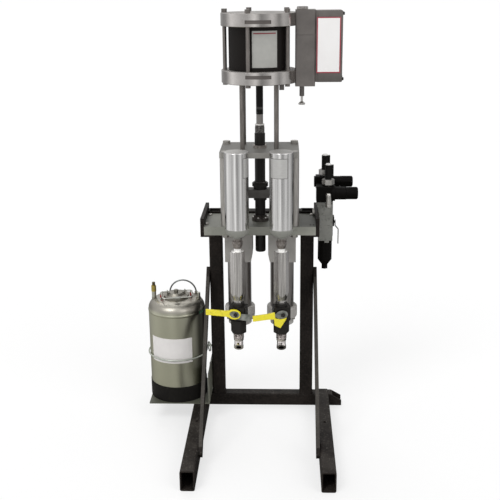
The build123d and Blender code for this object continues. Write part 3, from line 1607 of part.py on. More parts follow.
# Lid: a plug in the mouth under a flanged dome, with a boss and two ears for the bail
bail_across = Vector(cos(radians(bail_turn)), sin(radians(bail_turn)), 0)
bail_ahead = Vector(sin(radians(bail_turn)), -cos(radians(bail_turn)), 0)
ear_plane = Plane(origin=(tank_x, tank_y, ear_z), x_dir=bail_ahead, z_dir=bail_across)
with BuildPart() as tank_lid:
    with BuildSketch(upright(tank_x, tank_y)):
        with BuildLine():
            Polyline(
                (0, lid_low),
                (collar_radius - tank_wall - lid_gap, lid_low),
                (collar_radius - tank_wall - lid_gap, collar_top),
                (collar_radius, collar_top),
                (collar_radius, collar_top + lid_flange),
                (lid_dome_radius, collar_top + lid_flange),
                (lid_dome_radius - lid_dome, lid_top),
                (lid_boss / 2, lid_top),
                (lid_boss / 2, lid_top + lid_boss_height),
                (0, lid_top + lid_boss_height),
                close=True,
            )
        make_face()
    revolve(axis=vertical(tank_x, tank_y))
    with BuildSketch(ear_plane.offset(ear_reach), ear_plane.offset(-ear_reach - ear_thick)):
        Circle(ear_width / 2)
        Rectangle(ear_width, ear_height, align=(Align.CENTER, Align.MIN))
    extrude(amount=ear_thick)
    with BuildSketch(ear_plane.offset(-ear_reach - ear_thick)):
        Circle(bail_wire / 2 + run_gap)
    extrude(amount=2 * (ear_reach + ear_thick), mode=Mode.SUBTRACT)
tank_lid.part.label = "tank_lid"
export_step(tank_lid.part, "parts/tank_lid.step")

# Lid bail: a wire loop hinged in the ears, with a front tab and two feet that press on the tank
bail_plane = Plane(origin=(tank_x, tank_y, ear_z), x_dir=bail_across, z_dir=(0, 0, 1))
top_slope = (collar_foot_z - shoulder_z) / (shoulder_radius - collar_foot_radius)
foot_inner = bail_half - bail_foot_size / 2
foot_rest = collar_foot_z - (foot_inner - collar_foot_radius) * top_slope
foot_drop = ear_z - foot_rest - bail_foot_gap
with BuildPart() as lid_bail:
    with BuildLine(bail_plane) as bail:
        FilletPolyline(
            (bail_in - ear_reach, 0, 0),
            (-bail_half, 0, 0),
            (-bail_half, -bail_front, -bail_droop),
            (bail_half, -bail_front, -bail_droop),
            (bail_half, 0, 0),
            (ear_reach - bail_in, 0, 0),
            radius=(bail_corner / 2, bail_corner, bail_corner, bail_corner / 2),
        )
    with BuildSketch(Plane(origin=bail.line @ 0, z_dir=bail.line % 0)):
        Circle(bail_wire / 2)
    sweep(path=bail.line)
    for way in (-1, 1):
        foot_place = bail_plane.from_local_coords((way * bail_half, -bail_corner / 2, 0))
        with BuildSketch(Plane(origin=foot_place, z_dir=(0, 0, -1))):
            Circle(bail_foot_size / 2)
        extrude(amount=foot_drop)
    fillet(lid_bail.faces().sort_by(Axis.Z)[:2].edges(), bail_wire / 2)
    with BuildSketch(bail_plane.offset(-bail_droop - bail_wire / 2)):
        with Locations((0, -bail_front)):
            RectangleRounded(bail_tab_width, bail_tab_depth, bail_wire)
    extrude(amount=bail_wire)
lid_bail.part.label = "lid_bail"
export_step(lid_bail.part, "parts/lid_bail.step")

# Bolts: hex heads outside the brackets, flange and rear of the upper plate, flush at its front
bracket_bolt_z = pump_plate_low + bracket_bolt_rise
with BuildPart() as frame_bolts:
    with BuildSketch(Plane.XY.offset(upper_plate_low)):
        with Locations((0, drive_y)):
            with GridLocations(spacer_across, spacer_along, 2, 2):
                Circle(plate_bolt / 2)
    extrude(amount=upper_plate_thick)
    with BuildSketch(Plane.XY.offset(upper_plate_top)):
        with Locations((0, drive_y + spacer_along / 2)):
            with GridLocations(spacer_across, 0, 2, 1):
                RegularPolygon(plate_bolt_head / 2, 6, major_radius=False)
    extrude(amount=plate_bolt_head_height)
    with BuildSketch(Plane.XY.offset(upper_plate_top - socket_head_height)):
        with Locations((0, drive_y - spacer_along / 2)):
            with GridLocations(spacer_across, 0, 2, 1):
                Circle(socket_head / 2)
    extrude(amount=socket_head_height)
    for side in (-1, 1):
        with BuildSketch(Plane.YZ.offset(side * (post_outer - tube_wall))):
            with Locations((0, bracket_bolt_z)):
                with GridLocations(0, bracket_bolt_gap, 1, 2):
                    Circle(frame_bolt / 2)
        extrude(amount=side * (tube_wall + bar))
        with BuildSketch(Plane.YZ.offset(side * leg_inner)):
            with Locations((0, bracket_bolt_z)):
                with GridLocations(0, bracket_bolt_gap, 1, 2):
                    RegularPolygon(frame_bolt_head / 2, 6, major_radius=False)
        extrude(amount=side * frame_bolt_head_height)
    with BuildSketch(Plane.YZ.offset(-post_outer + tube_wall)):
        with Locations((0, shelf_bolt_z)):
            with GridLocations(0, shelf_bolt_gap, 1, 2):
                Circle(frame_bolt / 2)
    extrude(amount=-tube_wall - shelf_thick)
    with BuildSketch(Plane.YZ.offset(-post_outer - shelf_thick)):
        with Locations((0, shelf_bolt_z)):
            with GridLocations(0, shelf_bolt_gap, 1, 2):
                RegularPolygon(frame_bolt_head / 2, 6, major_radius=False)
    extrude(amount=-frame_bolt_head_height)
    with BuildSketch(Plane.YZ.offset(post_outer)):
        with Locations((air_bolt_y, air_bolt_z)):
            with GridLocations(air_bolt_gap, 0, 2, 1):
                Circle(frame_bolt / 2)
    extrude(amount=bar + air_plate_thick)
    with BuildSketch(Plane.YZ.offset(post_outer)):
        with Locations((air_bolt_y, air_bolt_z)):
            with GridLocations(air_bolt_gap, 0, 2, 1):
                RegularPolygon(frame_bolt_head / 2, 6, major_radius=False)
    extrude(amount=-frame_bolt_head_height)
frame_bolts.part.label = "frame_bolts"
export_step(frame_bolts.part, "parts/frame_bolts.step")
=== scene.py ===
from math import cos, pi, radians, sin

import bmesh
import bpy
from mathutils import Matrix, Vector


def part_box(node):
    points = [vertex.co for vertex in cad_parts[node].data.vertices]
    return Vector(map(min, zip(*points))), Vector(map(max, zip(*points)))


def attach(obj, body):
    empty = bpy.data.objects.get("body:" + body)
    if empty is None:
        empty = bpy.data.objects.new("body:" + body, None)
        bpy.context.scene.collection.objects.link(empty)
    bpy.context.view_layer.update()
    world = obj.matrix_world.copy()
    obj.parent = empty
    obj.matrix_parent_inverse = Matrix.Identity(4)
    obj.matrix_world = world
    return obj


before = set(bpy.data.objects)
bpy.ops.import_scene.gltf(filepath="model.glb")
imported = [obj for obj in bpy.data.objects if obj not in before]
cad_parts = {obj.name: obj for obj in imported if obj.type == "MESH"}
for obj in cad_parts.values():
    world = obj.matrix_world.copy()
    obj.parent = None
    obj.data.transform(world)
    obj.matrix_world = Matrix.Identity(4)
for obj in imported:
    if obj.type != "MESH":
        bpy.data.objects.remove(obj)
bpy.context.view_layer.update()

# Camera: a long lens well in front of the machine, a little to its right and above its middle,
# turned down so that the motor fills the top of the frame and the legs reach its bottom.
camera_place = (0.088, -3.2494, 1.659)
camera_down = radians(17.16)
camera_left = radians(2.34)
camera_roll = radians(0.63)
camera = bpy.data.objects.new("camera", bpy.data.cameras.new("camera"))
camera.data.lens = 63.0
camera.data.sensor_width = 36.0
camera.data.clip_end = 400.0
camera.matrix_world = (
    Matrix.Translation(camera_place)
    @ Matrix.Rotation(camera_left, 4, "Z")
    @ Matrix.Rotation(-camera_down, 4, "X")
    @ Matrix.Rotation(camera_roll, 4, "Y")
    @ Matrix.Rotation(pi / 2, 4, "X")
)
bpy.context.scene.collection.objects.link(camera)
bpy.context.scene.camera = camera
bpy.context.scene.view_settings.view_transform = "Standard"


# Light: a pale workshop. The sky and floor are white to the eye. Round metal also sees the room's
# walls, which are brighter and darker by turns, so that it gets its bands, and the dim lower room,
# which reaches the filters and the tank. Three soft suns shape the sides.
class Link:
    """A socket of a finish. Sums and products on it add the nodes that work them out."""

    def __init__(self, finish, socket):
        self.finish = finish
        self.socket = socket

    def math(self, operation, *others):
        return self.finish.node("ShaderNodeMath", {"operation": operation}, dict(enumerate((self, *others))))

    def __add__(self, other):
        return self.math("ADD", other)

    __radd__ = __add__

    def __mul__(self, other):
        return self.math("MULTIPLY", other)

    __rmul__ = __mul__

    def __sub__(self, other):
        return self.math("SUBTRACT", other)

    def __rsub__(self, other):
        return self.finish.node("ShaderNodeMath", {"operation": "SUBTRACT"}, {0: other, 1: self})

    def __truediv__(self, other):
        return self.math("DIVIDE", other)

    def between(self, low, high):
        """0 below low, 1 above high, and a smooth rise from one to the other."""
        settings = {"interpolation_type": "SMOOTHSTEP"}
        return self.finish.node("ShaderNodeMapRange", settings, {0: self, 1: low, 2: high})

    def inside(self, low, high, soft=0.0004):
        """1 from low to high and 0 outside them."""
        return self.between(low - soft, low) * (1.0 - self.between(high, high + soft))


class Finish:
    """A material and the nodes that colour it."""

    def __init__(self, name, **shader):
        self.material = bpy.data.materials.new(name)
        self.material.use_nodes = True
        self.nodes = self.material.node_tree.nodes
        self.links = self.material.node_tree.links
        self.shader = self.nodes["Principled BSDF"]
        self.set(**shader)

    def put(self, socket, value):
        if isinstance(value, Link):
            self.links.new(value.socket, socket)
        elif isinstance(value, tuple) and socket.type == "RGBA" and len(value) == 3:
            socket.default_value = (*value, 1.0)
        else:
            socket.default_value = value

    def set(self, **shader):
        """Values or links of the shader's own sockets, such as base_color or coat_weight."""
        for name, value in shader.items():
            self.put(self.shader.inputs[name.replace("_", " ").title().replace("Ior", "IOR")], value)

    def so_far(self, name):
        """What one of the shader's sockets is fed so far, to be worked on further."""
        return Link(self, self.shader.inputs[name].links[0].from_socket)

    def cover(self, mask, colour):
        """Lays one more colour over the base colour so far, where the mask is 1."""
        self.set(base_color=self.mix(mask, self.so_far("Base Color"), colour))

    def node(self, kind, settings=None, values=None, out=0):
        """Any node: its settings or ramp stops are set first, then the values or links of its sockets."""
        node = self.nodes.new(kind)
        for name, value in (settings or {}).items():
            if name == "stops":
                ramp = node.color_ramp
                for index, (place, colour) in enumerate(value):
                    stop = ramp.elements[index] if index < 2 else ramp.elements.new(place)
                    stop.position = place
                    stop.color = (*colour, 1.0)
            else:
                setattr(node, name, value)
        for key, value in (values or {}).items():
            self.put(node.inputs[key], value)
        return Link(self, node.outputs[out])

    def place(self, stretch=(1, 1, 1)):
        """Where a point is in the row's own metres, stretched along X, Y and Z."""
        where = self.node("ShaderNodeTexCoord", out=3)
        return self.node("ShaderNodeVectorMath", {"operation": "MULTIPLY"}, {0: where, 1: stretch})

    def axis(self, index):
        """One coordinate of the place, in metres."""
        return self.node("ShaderNodeSeparateXYZ", None, {0: self.place()}, out=index)

    def noise(self, scale, detail=3.0, rough=0.5, stretch=(1, 1, 1)):
        values = {"Vector": self.place(stretch), "Scale": scale, "Detail": detail, "Roughness": rough}
        return self.node("ShaderNodeTexNoise", None, values)

    def mix(self, factor, first, second):
        """Colours mixed by a factor."""
        return self.node("ShaderNodeMix", {"data_type": "RGBA"}, {0: factor, 6: first, 7: second}, out=2)

    def bump(self, height, distance, strength):
        values = {"Height": height, "Distance": distance, "Strength": strength}
        return self.node("ShaderNodeBump", None, values)


sky = bpy.data.worlds.new("workshop")
bpy.context.scene.world = sky
sky.use_nodes = True
sky_light = (0.62, 0.62, 0.62)
sky_high = (0.86, 0.86, 0.86)
high_from, high_to = 0.0, 0.45
upper_walls = (
    (-180, 0.5), (-130, 0.33), (-115, 0.38), (-90, 1.05), (-60, 0.7), (-34, 0.55), (-11, 1.1), (7, 0.28),
    (25, 0.5), (43, 0.85), (64, 0.32), (80, 0.7), (102, 0.45), (132, 0.15), (180, 0.2),
)
middle_walls = ((-180, 0.35), (-120, 0.75), (0, 0.84), (60, 0.7), (120, 0.6), (180, 0.3))
lower_walls = (
    (-180, 0.06), (-150, 0.14), (-120, 0.4), (-90, 0.44), (-30, 0.37),
    (12, 0.34), (36, 0.2), (70, 0.16), (90, 0.03), (180, 0.03),
)
lower_tint = (1.0, 0.99, 0.86)
middle_room = (-0.375, -0.355)
upper_room = (-0.290, -0.280)


class SkyFinish(Finish):
    """The sky, built with the same calls as a finish."""

    def __init__(self, world):
        self.nodes = world.node_tree.nodes
        self.links = world.node_tree.links

    def walls(self, turn, stops, tint=(1.0, 1.0, 1.0)):
        """The walls round the machine, by their turn from its front and their brightness."""
        whole = [(degrees / 360 + 0.5, tuple(light * part for part in tint)) for degrees, light in stops]
        return self.node("ShaderNodeValToRGB", {"stops": whole}, {0: turn})


room = SkyFinish(sky)
direction = room.node("ShaderNodeTexCoord", out=0)
across, ahead, height = (
    room.node("ShaderNodeSeparateXYZ", None, {0: direction}, out=index) for index in range(3)
)
turn = across.math("ARCTAN2", ahead * -1.0) / (2 * pi) + 0.5
walls = room.mix(
    height.between(*middle_room), room.walls(turn, lower_walls, lower_tint), room.walls(turn, middle_walls)
)
walls = room.mix(height.between(*upper_room), walls, room.walls(turn, upper_walls))
walls = room.mix(height.between(high_from, high_to), walls, sky_high)
seen = room.node("ShaderNodeLightPath", out=0)
glossy = room.node("ShaderNodeLightPath", out=3)
through = room.node("ShaderNodeLightPath", out=6)
plain = room.mix(seen, sky_light, (1.0, 1.0, 1.0))
background = sky.node_tree.nodes["Background"]
background.inputs["Strength"].default_value = 1.0
room.put(background.inputs["Color"], room.mix((glossy + through).math("MINIMUM", 1.0), plain, walls))

suns = (
    ("key_sun", 38, -34, 1.05, 24),
    ("fill_sun", 50, 48, 0.55, 34),
    ("back_sun", -40, 20, 0.45, 30),
)
for name, tilt, turn, power, spread in suns:
    lamp = bpy.data.lights.new(name, "SUN")
    lamp.energy = power
    lamp.angle = radians(spread)
    sun = bpy.data.objects.new(name, lamp)
    sun.matrix_world = Matrix.Rotation(radians(turn), 4, "Z") @ Matrix.Rotation(radians(tilt), 4, "X")
    bpy.context.scene.collection.objects.link(sun)

# Floor: a wide pale floor that catches the machine's shadow. The camera sees it paler than the
# machine does, and metal sees the room instead of it.
floor_reach = 130.0
floor_pale = (0.93, 0.93, 0.93)
floor_gray = (0.9, 0.9, 0.9)
camera_share = 0.65
floor_finish = Finish("pale_floor", roughness=0.9)
floor_finish.set(base_color=floor_finish.mix(floor_finish.noise(3.0, 2.0) * 0.1, floor_pale, floor_gray))
to_camera = floor_finish.node("ShaderNodeLightPath") * camera_share
lit = Link(floor_finish, floor_finish.shader.outputs[0])
white = floor_finish.node("ShaderNodeEmission")
paler = floor_finish.node("ShaderNodeMixShader", None, {0: to_camera, 1: lit, 2: white})
floor_finish.put(floor_finish.nodes["Material Output"].inputs["Surface"], paler)
floor_mesh = bpy.data.meshes.new("floor")
corners = [(x * floor_reach, y * floor_reach, 0) for x, y in ((-1, -1), (1, -1), (1, 1), (-1, 1))]
floor_mesh.from_pydata(corners, [], [(0, 1, 2, 3)])
floor_mesh.materials.append(floor_finish.material)
floor = bpy.data.objects.new("floor", floor_mesh)
floor.visible_glossy = False
bpy.context.scene.collection.objects.link(floor)

# Stand: square and rectangular steel tube and flat bar, welded and sprayed with a brown-black
# paint that dries to a fine pebbled satin. Dust lies in it on the faces that look up, and the
# braces' upper faces are painted paler, a painted highlight where the light falls on them.
paint_dark = (0.0085, 0.0070, 0.0062)
paint_brown = (0.027, 0.0215, 0.0185)
# Pale dust colour, also used for the braces' painted highlight.
dust_and_highlight = (0.16, 0.15, 0.135)
brace_light_low, brace_light_high = 0.08, 0.56


def dress(finish, *nodes):
    """Gives CAD nodes their finish."""
    for node in nodes:
        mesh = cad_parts[node].data
        mesh.materials.clear()
        mesh.materials.append(finish.material)


def facing_up(finish):
    """1 on faces that look up, 0 on walls and undersides."""
    normal = finish.node("ShaderNodeNewGeometry", out=1)
    return finish.node("ShaderNodeSeparateXYZ", None, {0: normal}, out=2).between(0.4, 0.9)


black_paint = Finish("black_stand_paint", specular_ior_level=0.09)
pebble = black_paint.noise(420.0, 2.0, 0.6)
grit = black_paint.noise(170.0, 2.0, 0.7).between(0.42, 0.62)
blotch = black_paint.noise(9.0, 4.0, 0.6)
speck = black_paint.noise(150.0, 3.0, 0.7).between(0.58, 0.70)
settled = facing_up(black_paint) * (speck * 0.5 + blotch.between(0.4, 0.75) * 0.14)
braces = [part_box(node) for node in ("left_brace", "right_brace")]
on_brace = sum(black_paint.axis(0).inside(low.x, high.x) for low, high in braces)
# Painted highlight: the braces' faces that look up are lightened towards the dust colour.
brace_highlight = on_brace * facing_up(black_paint) * black_paint.axis(2).inside(brace_light_low, brace_light_high) * 0.42
wear_and_brace_highlight = speck * 0.10 + brace_highlight
painted = black_paint.mix(blotch.between(0.35, 0.7) * 0.5 + grit * 0.5, paint_dark, paint_brown)
black_paint.set(
    base_color=black_paint.mix((settled + wear_and_brace_highlight).math("MINIMUM", 1.0), painted, dust_and_highlight),
    roughness=0.42 + pebble * 0.22,
    normal=black_paint.bump(pebble, 0.0004, 0.5),
)
dress(
    black_paint,
    "base_crossbeam", "left_leg", "right_leg", "left_post", "right_post",
    "left_brace", "right_brace", "top_rail", "left_side_bracket", "right_side_bracket",
)

# Weld beads: rippled fillets of weld along both sides of each post's foot, and up the inner
# corner where each leg meets the beam, painted with the stand.
bead_size = 0.0032
bead_ripple = 0.0035
bead_skin = 0.00045
bead_sides = 6
post_bead_margin = 0.008
leg_bead_margin = 0.004
leg_bead_foot = 0.006


def facing(way):
    """A turn that carries Z to the way."""
    return way.to_track_quat("Z", "Y").to_matrix().to_4x4()


class Shape:
    """A mesh in the making, in the row's own frame. Each call adds a closed body to it."""

    def __init__(self):
        self.mesh = bmesh.new()

    def rings(self, rings, closed=False):
        """Skins neighbouring rings of points. The ends get a face, or the last ring meets the first."""
        made = [[self.mesh.verts.new(point) for point in ring] for ring in rings]
        pairs = list(zip(made, made[1:] + made[:1])) if closed else list(zip(made, made[1:]))
        for first, second in pairs:
            count = max(len(first), len(second))
            for n in range(count):
                a, b = first[n % len(first)], first[(n + 1) % len(first)]
                c, d = second[(n + 1) % len(second)], second[n % len(second)]
                corners = list(dict.fromkeys((a, b, c, d)))
                self.mesh.faces.new(corners)
        if not closed:
            for end in (made[0][::-1], made[-1]):
                if len(end) > 2:
                    self.mesh.faces.new(end)
        return self

    def turned(self, profile, place, sides, start=0.0, closed=False):
        """Carries (radius, height) points round Z and puts the body in place. Six sides make a hex."""
        rings = []
        for radius, height in profile:
            count = sides if radius > 0 else 1
            angles = [start + 2 * pi * n / count for n in range(count)]
            rings.append([place @ Vector((radius * cos(a), radius * sin(a), height)) for a in angles])
        return self.rings(rings, closed)

    def toothed(self, centre, bore, radius, depth, heights, teeth):
        """A ring with straight teeth round it and a plain bore."""
        low, high = heights
        rings = []
        for height, inside in ((low, True), (low, False), (high, False), (high, True)):
            ring = []
            for n in range(4 * teeth):
                reach = bore if inside else radius - (depth if n % 4 in (1, 2) else 0.0)
                angle = 2 * pi * n / (4 * teeth)
                ring.append(Vector((centre[0] + reach * cos(angle), centre[1] + reach * sin(angle), height)))
            rings.append(ring)
        return self.rings(rings, closed=True)

    def slab(self, low, high, edge):
        """A box between two corners, its edges bevelled by the edge's size."""
        middle = (Vector(low) + Vector(high)) / 2
        size = Vector(high) - Vector(low)
        made = bmesh.ops.create_cube(
            self.mesh, size=1.0, matrix=Matrix.Translation(middle) @ Matrix.Diagonal((*size, 1.0))
        )
        edges = list({e for v in made["verts"] for e in v.link_edges})
        bmesh.ops.bevel(self.mesh, geom=edges, offset=edge, segments=2, affect="EDGES", profile=0.7)
        return self

    def wrapped(self, centre, radius, thick, turns, heights, steps=20):
        """A thin plate bent round an upright tube, from one turn to another, measured from the front."""
        low, high = heights
        outer = radius + thick
        rings = []
        for n in range(steps + 1):
            angle = radians(turns[0] + (turns[1] - turns[0]) * n / steps)
            way = Vector((sin(angle), -cos(angle), 0))
            rings.append([
                Vector((*centre, height)) + way * reach
                for reach, height in ((radius, low), (outer, low), (outer, high), (radius, high))
            ])
        return self.rings(rings)

    def bead(self, start, end):
        """A weld bead from one point to another, thicker at every other ripple."""
        run = Vector(end) - Vector(start)
        count = max(2, round(run.length / bead_ripple))
        ripples = [bead_skin if n % 2 else 0.0 for n in range(count + 1)]
        profile = [(bead_size + ripple, run.length * n / count) for n, ripple in enumerate(ripples)]
        return self.turned(profile, Matrix.Translation(start) @ facing(run), bead_sides)

    def done(self, name, finish, slot, body="stand", sharp=35):
        """The finished piece: smooth but for its sharp edges, with its finish and body. Its slot is not
        used.
        """
        bmesh.ops.recalc_face_normals(self.mesh, faces=self.mesh.faces)
        for face in self.mesh.faces:
            face.smooth = True
        for edge in self.mesh.edges:
            edge.smooth = len(edge.link_faces) == 2 and edge.calc_face_angle() < radians(sharp)
        mesh = bpy.data.meshes.new(name)
        self.mesh.to_mesh(mesh)
        self.mesh.free()
        mesh.materials.append(finish.material)
        piece = bpy.data.objects.new(name, mesh)
        bpy.context.scene.collection.objects.link(piece)
        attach(piece, body)


beads = Shape()
for hand in ("left", "right"):
    post_low, post_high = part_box(f"{hand}_post")
    leg_low, leg_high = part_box(f"{hand}_leg")
    near, far = post_low.y + post_bead_margin, post_high.y - post_bead_margin
    for x in (post_low.x, post_high.x):
        beads.bead((x, near, post_low.z), (x, far, post_low.z))
    inner = leg_high.x if hand == "left" else leg_low.x
    beads.bead((inner, leg_high.y, leg_bead_foot), (inner, leg_high.y, post_low.z - leg_bead_margin))
beads.done("weld_beads", black_paint, "black_steel")

# Bolts: hex bolts and round-headed screws, zinc plated steel gone dull. They hold the stand
# together, the pump plate to its ledges, the spacers to the plate and the feet to the pumps.
zinc = Finish("dull_zinc", metallic=0.9)
tarnish = zinc.noise(60.0, 4.0, 0.6)
zinc.set(
    base_color=zinc.mix(tarnish, (0.28, 0.27, 0.25), (0.52, 0.5, 0.47)),
    roughness=0.3 + tarnish * 0.3,
)
dress(zinc, "frame_bolts")
head_edge = 0.001
crown = 0.86
round_head = ((0, 0), (0.0075, 0), (0.0075, 0.003), (0.006, 0.0048), (0, 0.0055))
ledge_screws = ((-0.191, -0.049), (-0.194, -0.178), (0.191, -0.049))
drive_y = -0.1219
spacer_x, spacer_from_drive = 0.125, 0.076
pump_x = 0.08
foot_circle_radius, foot_bolt_rise = 0.0505, 0.027


def hex_head(shape, place, across_corners, height):
    """A hex head with a rounded crown, standing up from the place."""
    reach = across_corners / 2
    profile = ((0, 0), (reach, 0), (reach, height - head_edge), (reach * crown, height), (0, height))
    shape.turned(profile, place, sides=6)


def at(x, y, z, turn=0.0):
    """A place in the row's frame, turned about X."""
    return Matrix.Translation((x, y, z)) @ Matrix.Rotation(radians(turn), 4, "X")


plate_low, plate_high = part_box("pump_plate")
plate_bolts = Shape()
for x, y in ledge_screws:
    plate_bolts.turned(round_head, at(x, y, plate_high.z), sides=24)
for x in (-spacer_x, spacer_x):
    for y in (drive_y - spacer_from_drive, drive_y + spacer_from_drive):
        hex_head(plate_bolts, at(x, y, plate_low.z, 180), across_corners=0.025, height=0.013)
plate_bolts.done("plate_bolts", zinc, "zinc_fasteners")


def bolt_circle(centre_x, radius, first):
    """Six places round an upright axis that is level with the drive, the first at a turn from +X."""
    for step in range(6):
        angle = radians(first + 60 * step)
        yield centre_x + radius * cos(angle), drive_y + radius * sin(angle)


foot_bolts = Shape()
foot_bolt_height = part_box("pump_feet")[0].z + foot_bolt_rise
for centre_x in (-pump_x, pump_x):
    for x, y in bolt_circle(centre_x, foot_circle_radius, 30):
        hex_head(foot_bolts, at(x, y, foot_bolt_height, 180), across_corners=0.011, height=0.006)
foot_bolts.done("foot_bolts", zinc, "zinc_fasteners")

# Sunk screws: two black steel socket screws, sunk flush in the right end of the pump plate and
# wet with oil.
oiled = Finish("oiled_screw", roughness=0.45, specular_ior_level=0.12)
oiled.set(base_color=oiled.mix(oiled.noise(300.0), (0.01, 0.01, 0.009), (0.035, 0.033, 0.03)))
socket_head = ((0, 0), (0.0042, 0), (0.0042, 0.0006), (0.0022, 0.0006), (0.0022, 0.0002), (0, 0.0002))
sunk_places = ((0.183, -0.191), (0.194, -0.191))
sunk = Shape()
for x, y in sunk_places:
    sunk.turned(socket_head, at(x, y, plate_high.z), sides=20)
sunk.done("sunk_screws", oiled, "zinc_fasteners")


# Plates and pump blocks: milled steel and iron under a sprayed gray machine paint, with painted
# shade that darkens the faces that look up. The pump plate is greener and darker on top towards
# its right end, the upper plate and the blocks are warmer, the upper plate's top and the right of
# its front carry more painted shade, the bracket is scabbed and the shelf is the darkest.
def machine_paint(name, dark, light):
    """A sprayed machine enamel with clouds, smudges, orange peel and painted shade on the faces that look
    up.
    """
    paint = Finish(name, specular_ior_level=0.4)
    cloud = paint.noise(7.0, 5.0, 0.55)
    smudge = paint.noise(30.0, 5.0, 0.7).between(0.56, 0.75)
    smudge_and_shade_colour = tuple(part * 0.55 for part in dark)
    clean = paint.mix(cloud.between(0.3, 0.7), dark, light)
    # Smudges are dirt; the darkening of the faces that look up is painted shade.
    smudge_and_shade = (smudge * 0.5 + facing_up(paint) * 0.42).math("MINIMUM", 1.0)
    paint.set(
        base_color=paint.mix(smudge_and_shade, clean, smudge_and_shade_colour),
        roughness=0.38 + cloud * 0.2,
        normal=paint.bump(paint.noise(260.0, 2.0), 0.0002, 0.35),
    )
    return paint


pump_plate_paint = machine_paint("pump_plate_paint", (0.190, 0.192, 0.166), (0.275, 0.277, 0.240))
dark_end_from, dark_end_to = 0.115, 0.150
# The plate's top is darker towards its right end.
right_end_dark = pump_plate_paint.axis(0).between(dark_end_from, dark_end_to) * facing_up(pump_plate_paint)
right_end_dark = right_end_dark * (0.55 + pump_plate_paint.noise(25.0, 4.0) * 0.5)
pump_plate_paint.cover(right_end_dark, (0.045, 0.045, 0.036))
dress(pump_plate_paint, "pump_plate")

upper_plate_paint = machine_paint("upper_plate_paint", (0.198, 0.190, 0.175), (0.287, 0.278, 0.258))
# Painted shade: the top, and the front towards its right end, are darkened towards near black.
front_shade_from, front_shade_to = 0.05, 0.12
upper_top = facing_up(upper_plate_paint)
front_shade = (1.0 - upper_top) * upper_plate_paint.axis(0).between(front_shade_from, front_shade_to)
upper_plate_paint.cover(upper_top * 0.27 + front_shade * 0.22, (0.02, 0.02, 0.017))
dress(upper_plate_paint, "upper_plate")

block_paint = machine_paint("pump_block_paint", (0.29, 0.278, 0.262), (0.38, 0.365, 0.345))
dress(block_paint, "pump_blocks")

shelf_paint = machine_paint("shelf_paint", (0.085, 0.088, 0.066), (0.135, 0.137, 0.108))
dress(shelf_paint, "tank_shelf")

bracket_paint = machine_paint("air_bracket_paint", (0.155, 0.155, 0.140), (0.245, 0.245, 0.224))
scabs = bracket_paint.noise(75.0, 4.0, 0.7).between(0.52, 0.68)
bracket_paint.cover(scabs * 0.6, (0.06, 0.06, 0.052))
dress(bracket_paint, "air_bracket")

# Filter catch: a small steel block, fixed under the front edge of the bracket plate and painted
# with it.
catch_left, catch_right = 0.2395, 0.2560
catch_front, catch_back = -0.0848, -0.0788
catch_drop = 0.0085
catch_edge = 0.0012
bracket_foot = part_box("air_bracket")[0].z
catch = Shape().slab(
    (catch_left, catch_front, bracket_foot - catch_drop), (catch_right, catch_back, bracket_foot), catch_edge
)
catch.done("filter_catch", bracket_paint, "gray_paint")

# Chamber heads: round bowls painted with the plates, over a bare union whose metal has gone
# brown and gray, and the arm that carries it from the pump block.
union_top = 0.7835
head_paint = machine_paint("chamber_head_paint", (0.140, 0.143, 0.125), (0.200, 0.203, 0.178))
is_bowl = head_paint.axis(2).between(union_top, union_top + 0.001)
mottle = head_paint.noise(130.0, 4.0, 0.6)
bare = head_paint.mix(mottle.between(0.3, 0.7), (0.17, 0.150, 0.138), (0.36, 0.33, 0.31))
bowl = head_paint.mix(head_paint.noise(7.0, 5.0), (0.185, 0.187, 0.168), (0.260, 0.262, 0.236))
head_paint.set(
    base_color=head_paint.mix(is_bowl, bare, bowl),
    metallic=(1.0 - is_bowl) * 0.85,
    roughness=0.34 + mottle * 0.2,
)
dress(head_paint, "chamber_heads")


# Castings: the air valve's block and cover, the crosshead and the pump feet, painted over cast
# metal whose skin still shows through the paint.
def cast_paint(name, dark, light, gloss=0.45):
    """A thin paint over a cast skin."""
    paint = Finish(name, specular_ior_level=gloss)
    wash = paint.noise(12.0, 5.0, 0.6)
    paint.set(
        base_color=paint.mix(wash.between(0.3, 0.7), dark, light),
        roughness=0.4 + wash * 0.2,
        normal=paint.bump(paint.noise(190.0, 3.0, 0.6), 0.0005, 0.45),
    )
    return paint


valve_paint = cast_paint("valve_casting", (0.098, 0.088, 0.082), (0.135, 0.122, 0.113))
# The cover is darker towards its bottom.
darker_low_from, darker_low_to = 1.318, 1.372
cover_from, cover_to = 0.193, 0.197
low_down = 1.0 - valve_paint.axis(2).between(darker_low_from, darker_low_to)
darker_low_cover = low_down * valve_paint.axis(0).between(cover_from, cover_to) * 0.5
valve_paint.cover(darker_low_cover, (0.045, 0.040, 0.035))
foot_paint = cast_paint("pump_foot_casting", (0.27, 0.258, 0.243), (0.42, 0.405, 0.385))
crosshead_paint = cast_paint("crosshead_casting", (0.070, 0.066, 0.061), (0.115, 0.109, 0.102), 0.3)
dress(valve_paint, "valve_block", "valve_cover", "valve_fittings")
dress(foot_paint, "pump_feet")
dress(crosshead_paint, "crosshead")

# Push button: a mushroom head on a stem, turned from bare steel. It slides in the housing under
# the valve block, and is brighter than both.
button_steel = Finish("button_steel", metallic=0.9, roughness=0.35)
button_wear = button_steel.noise(90.0)
button_steel.set(base_color=button_steel.mix(button_wear, (0.5, 0.48, 0.46), (0.78, 0.76, 0.73)))
dress(button_steel, "reset_button")

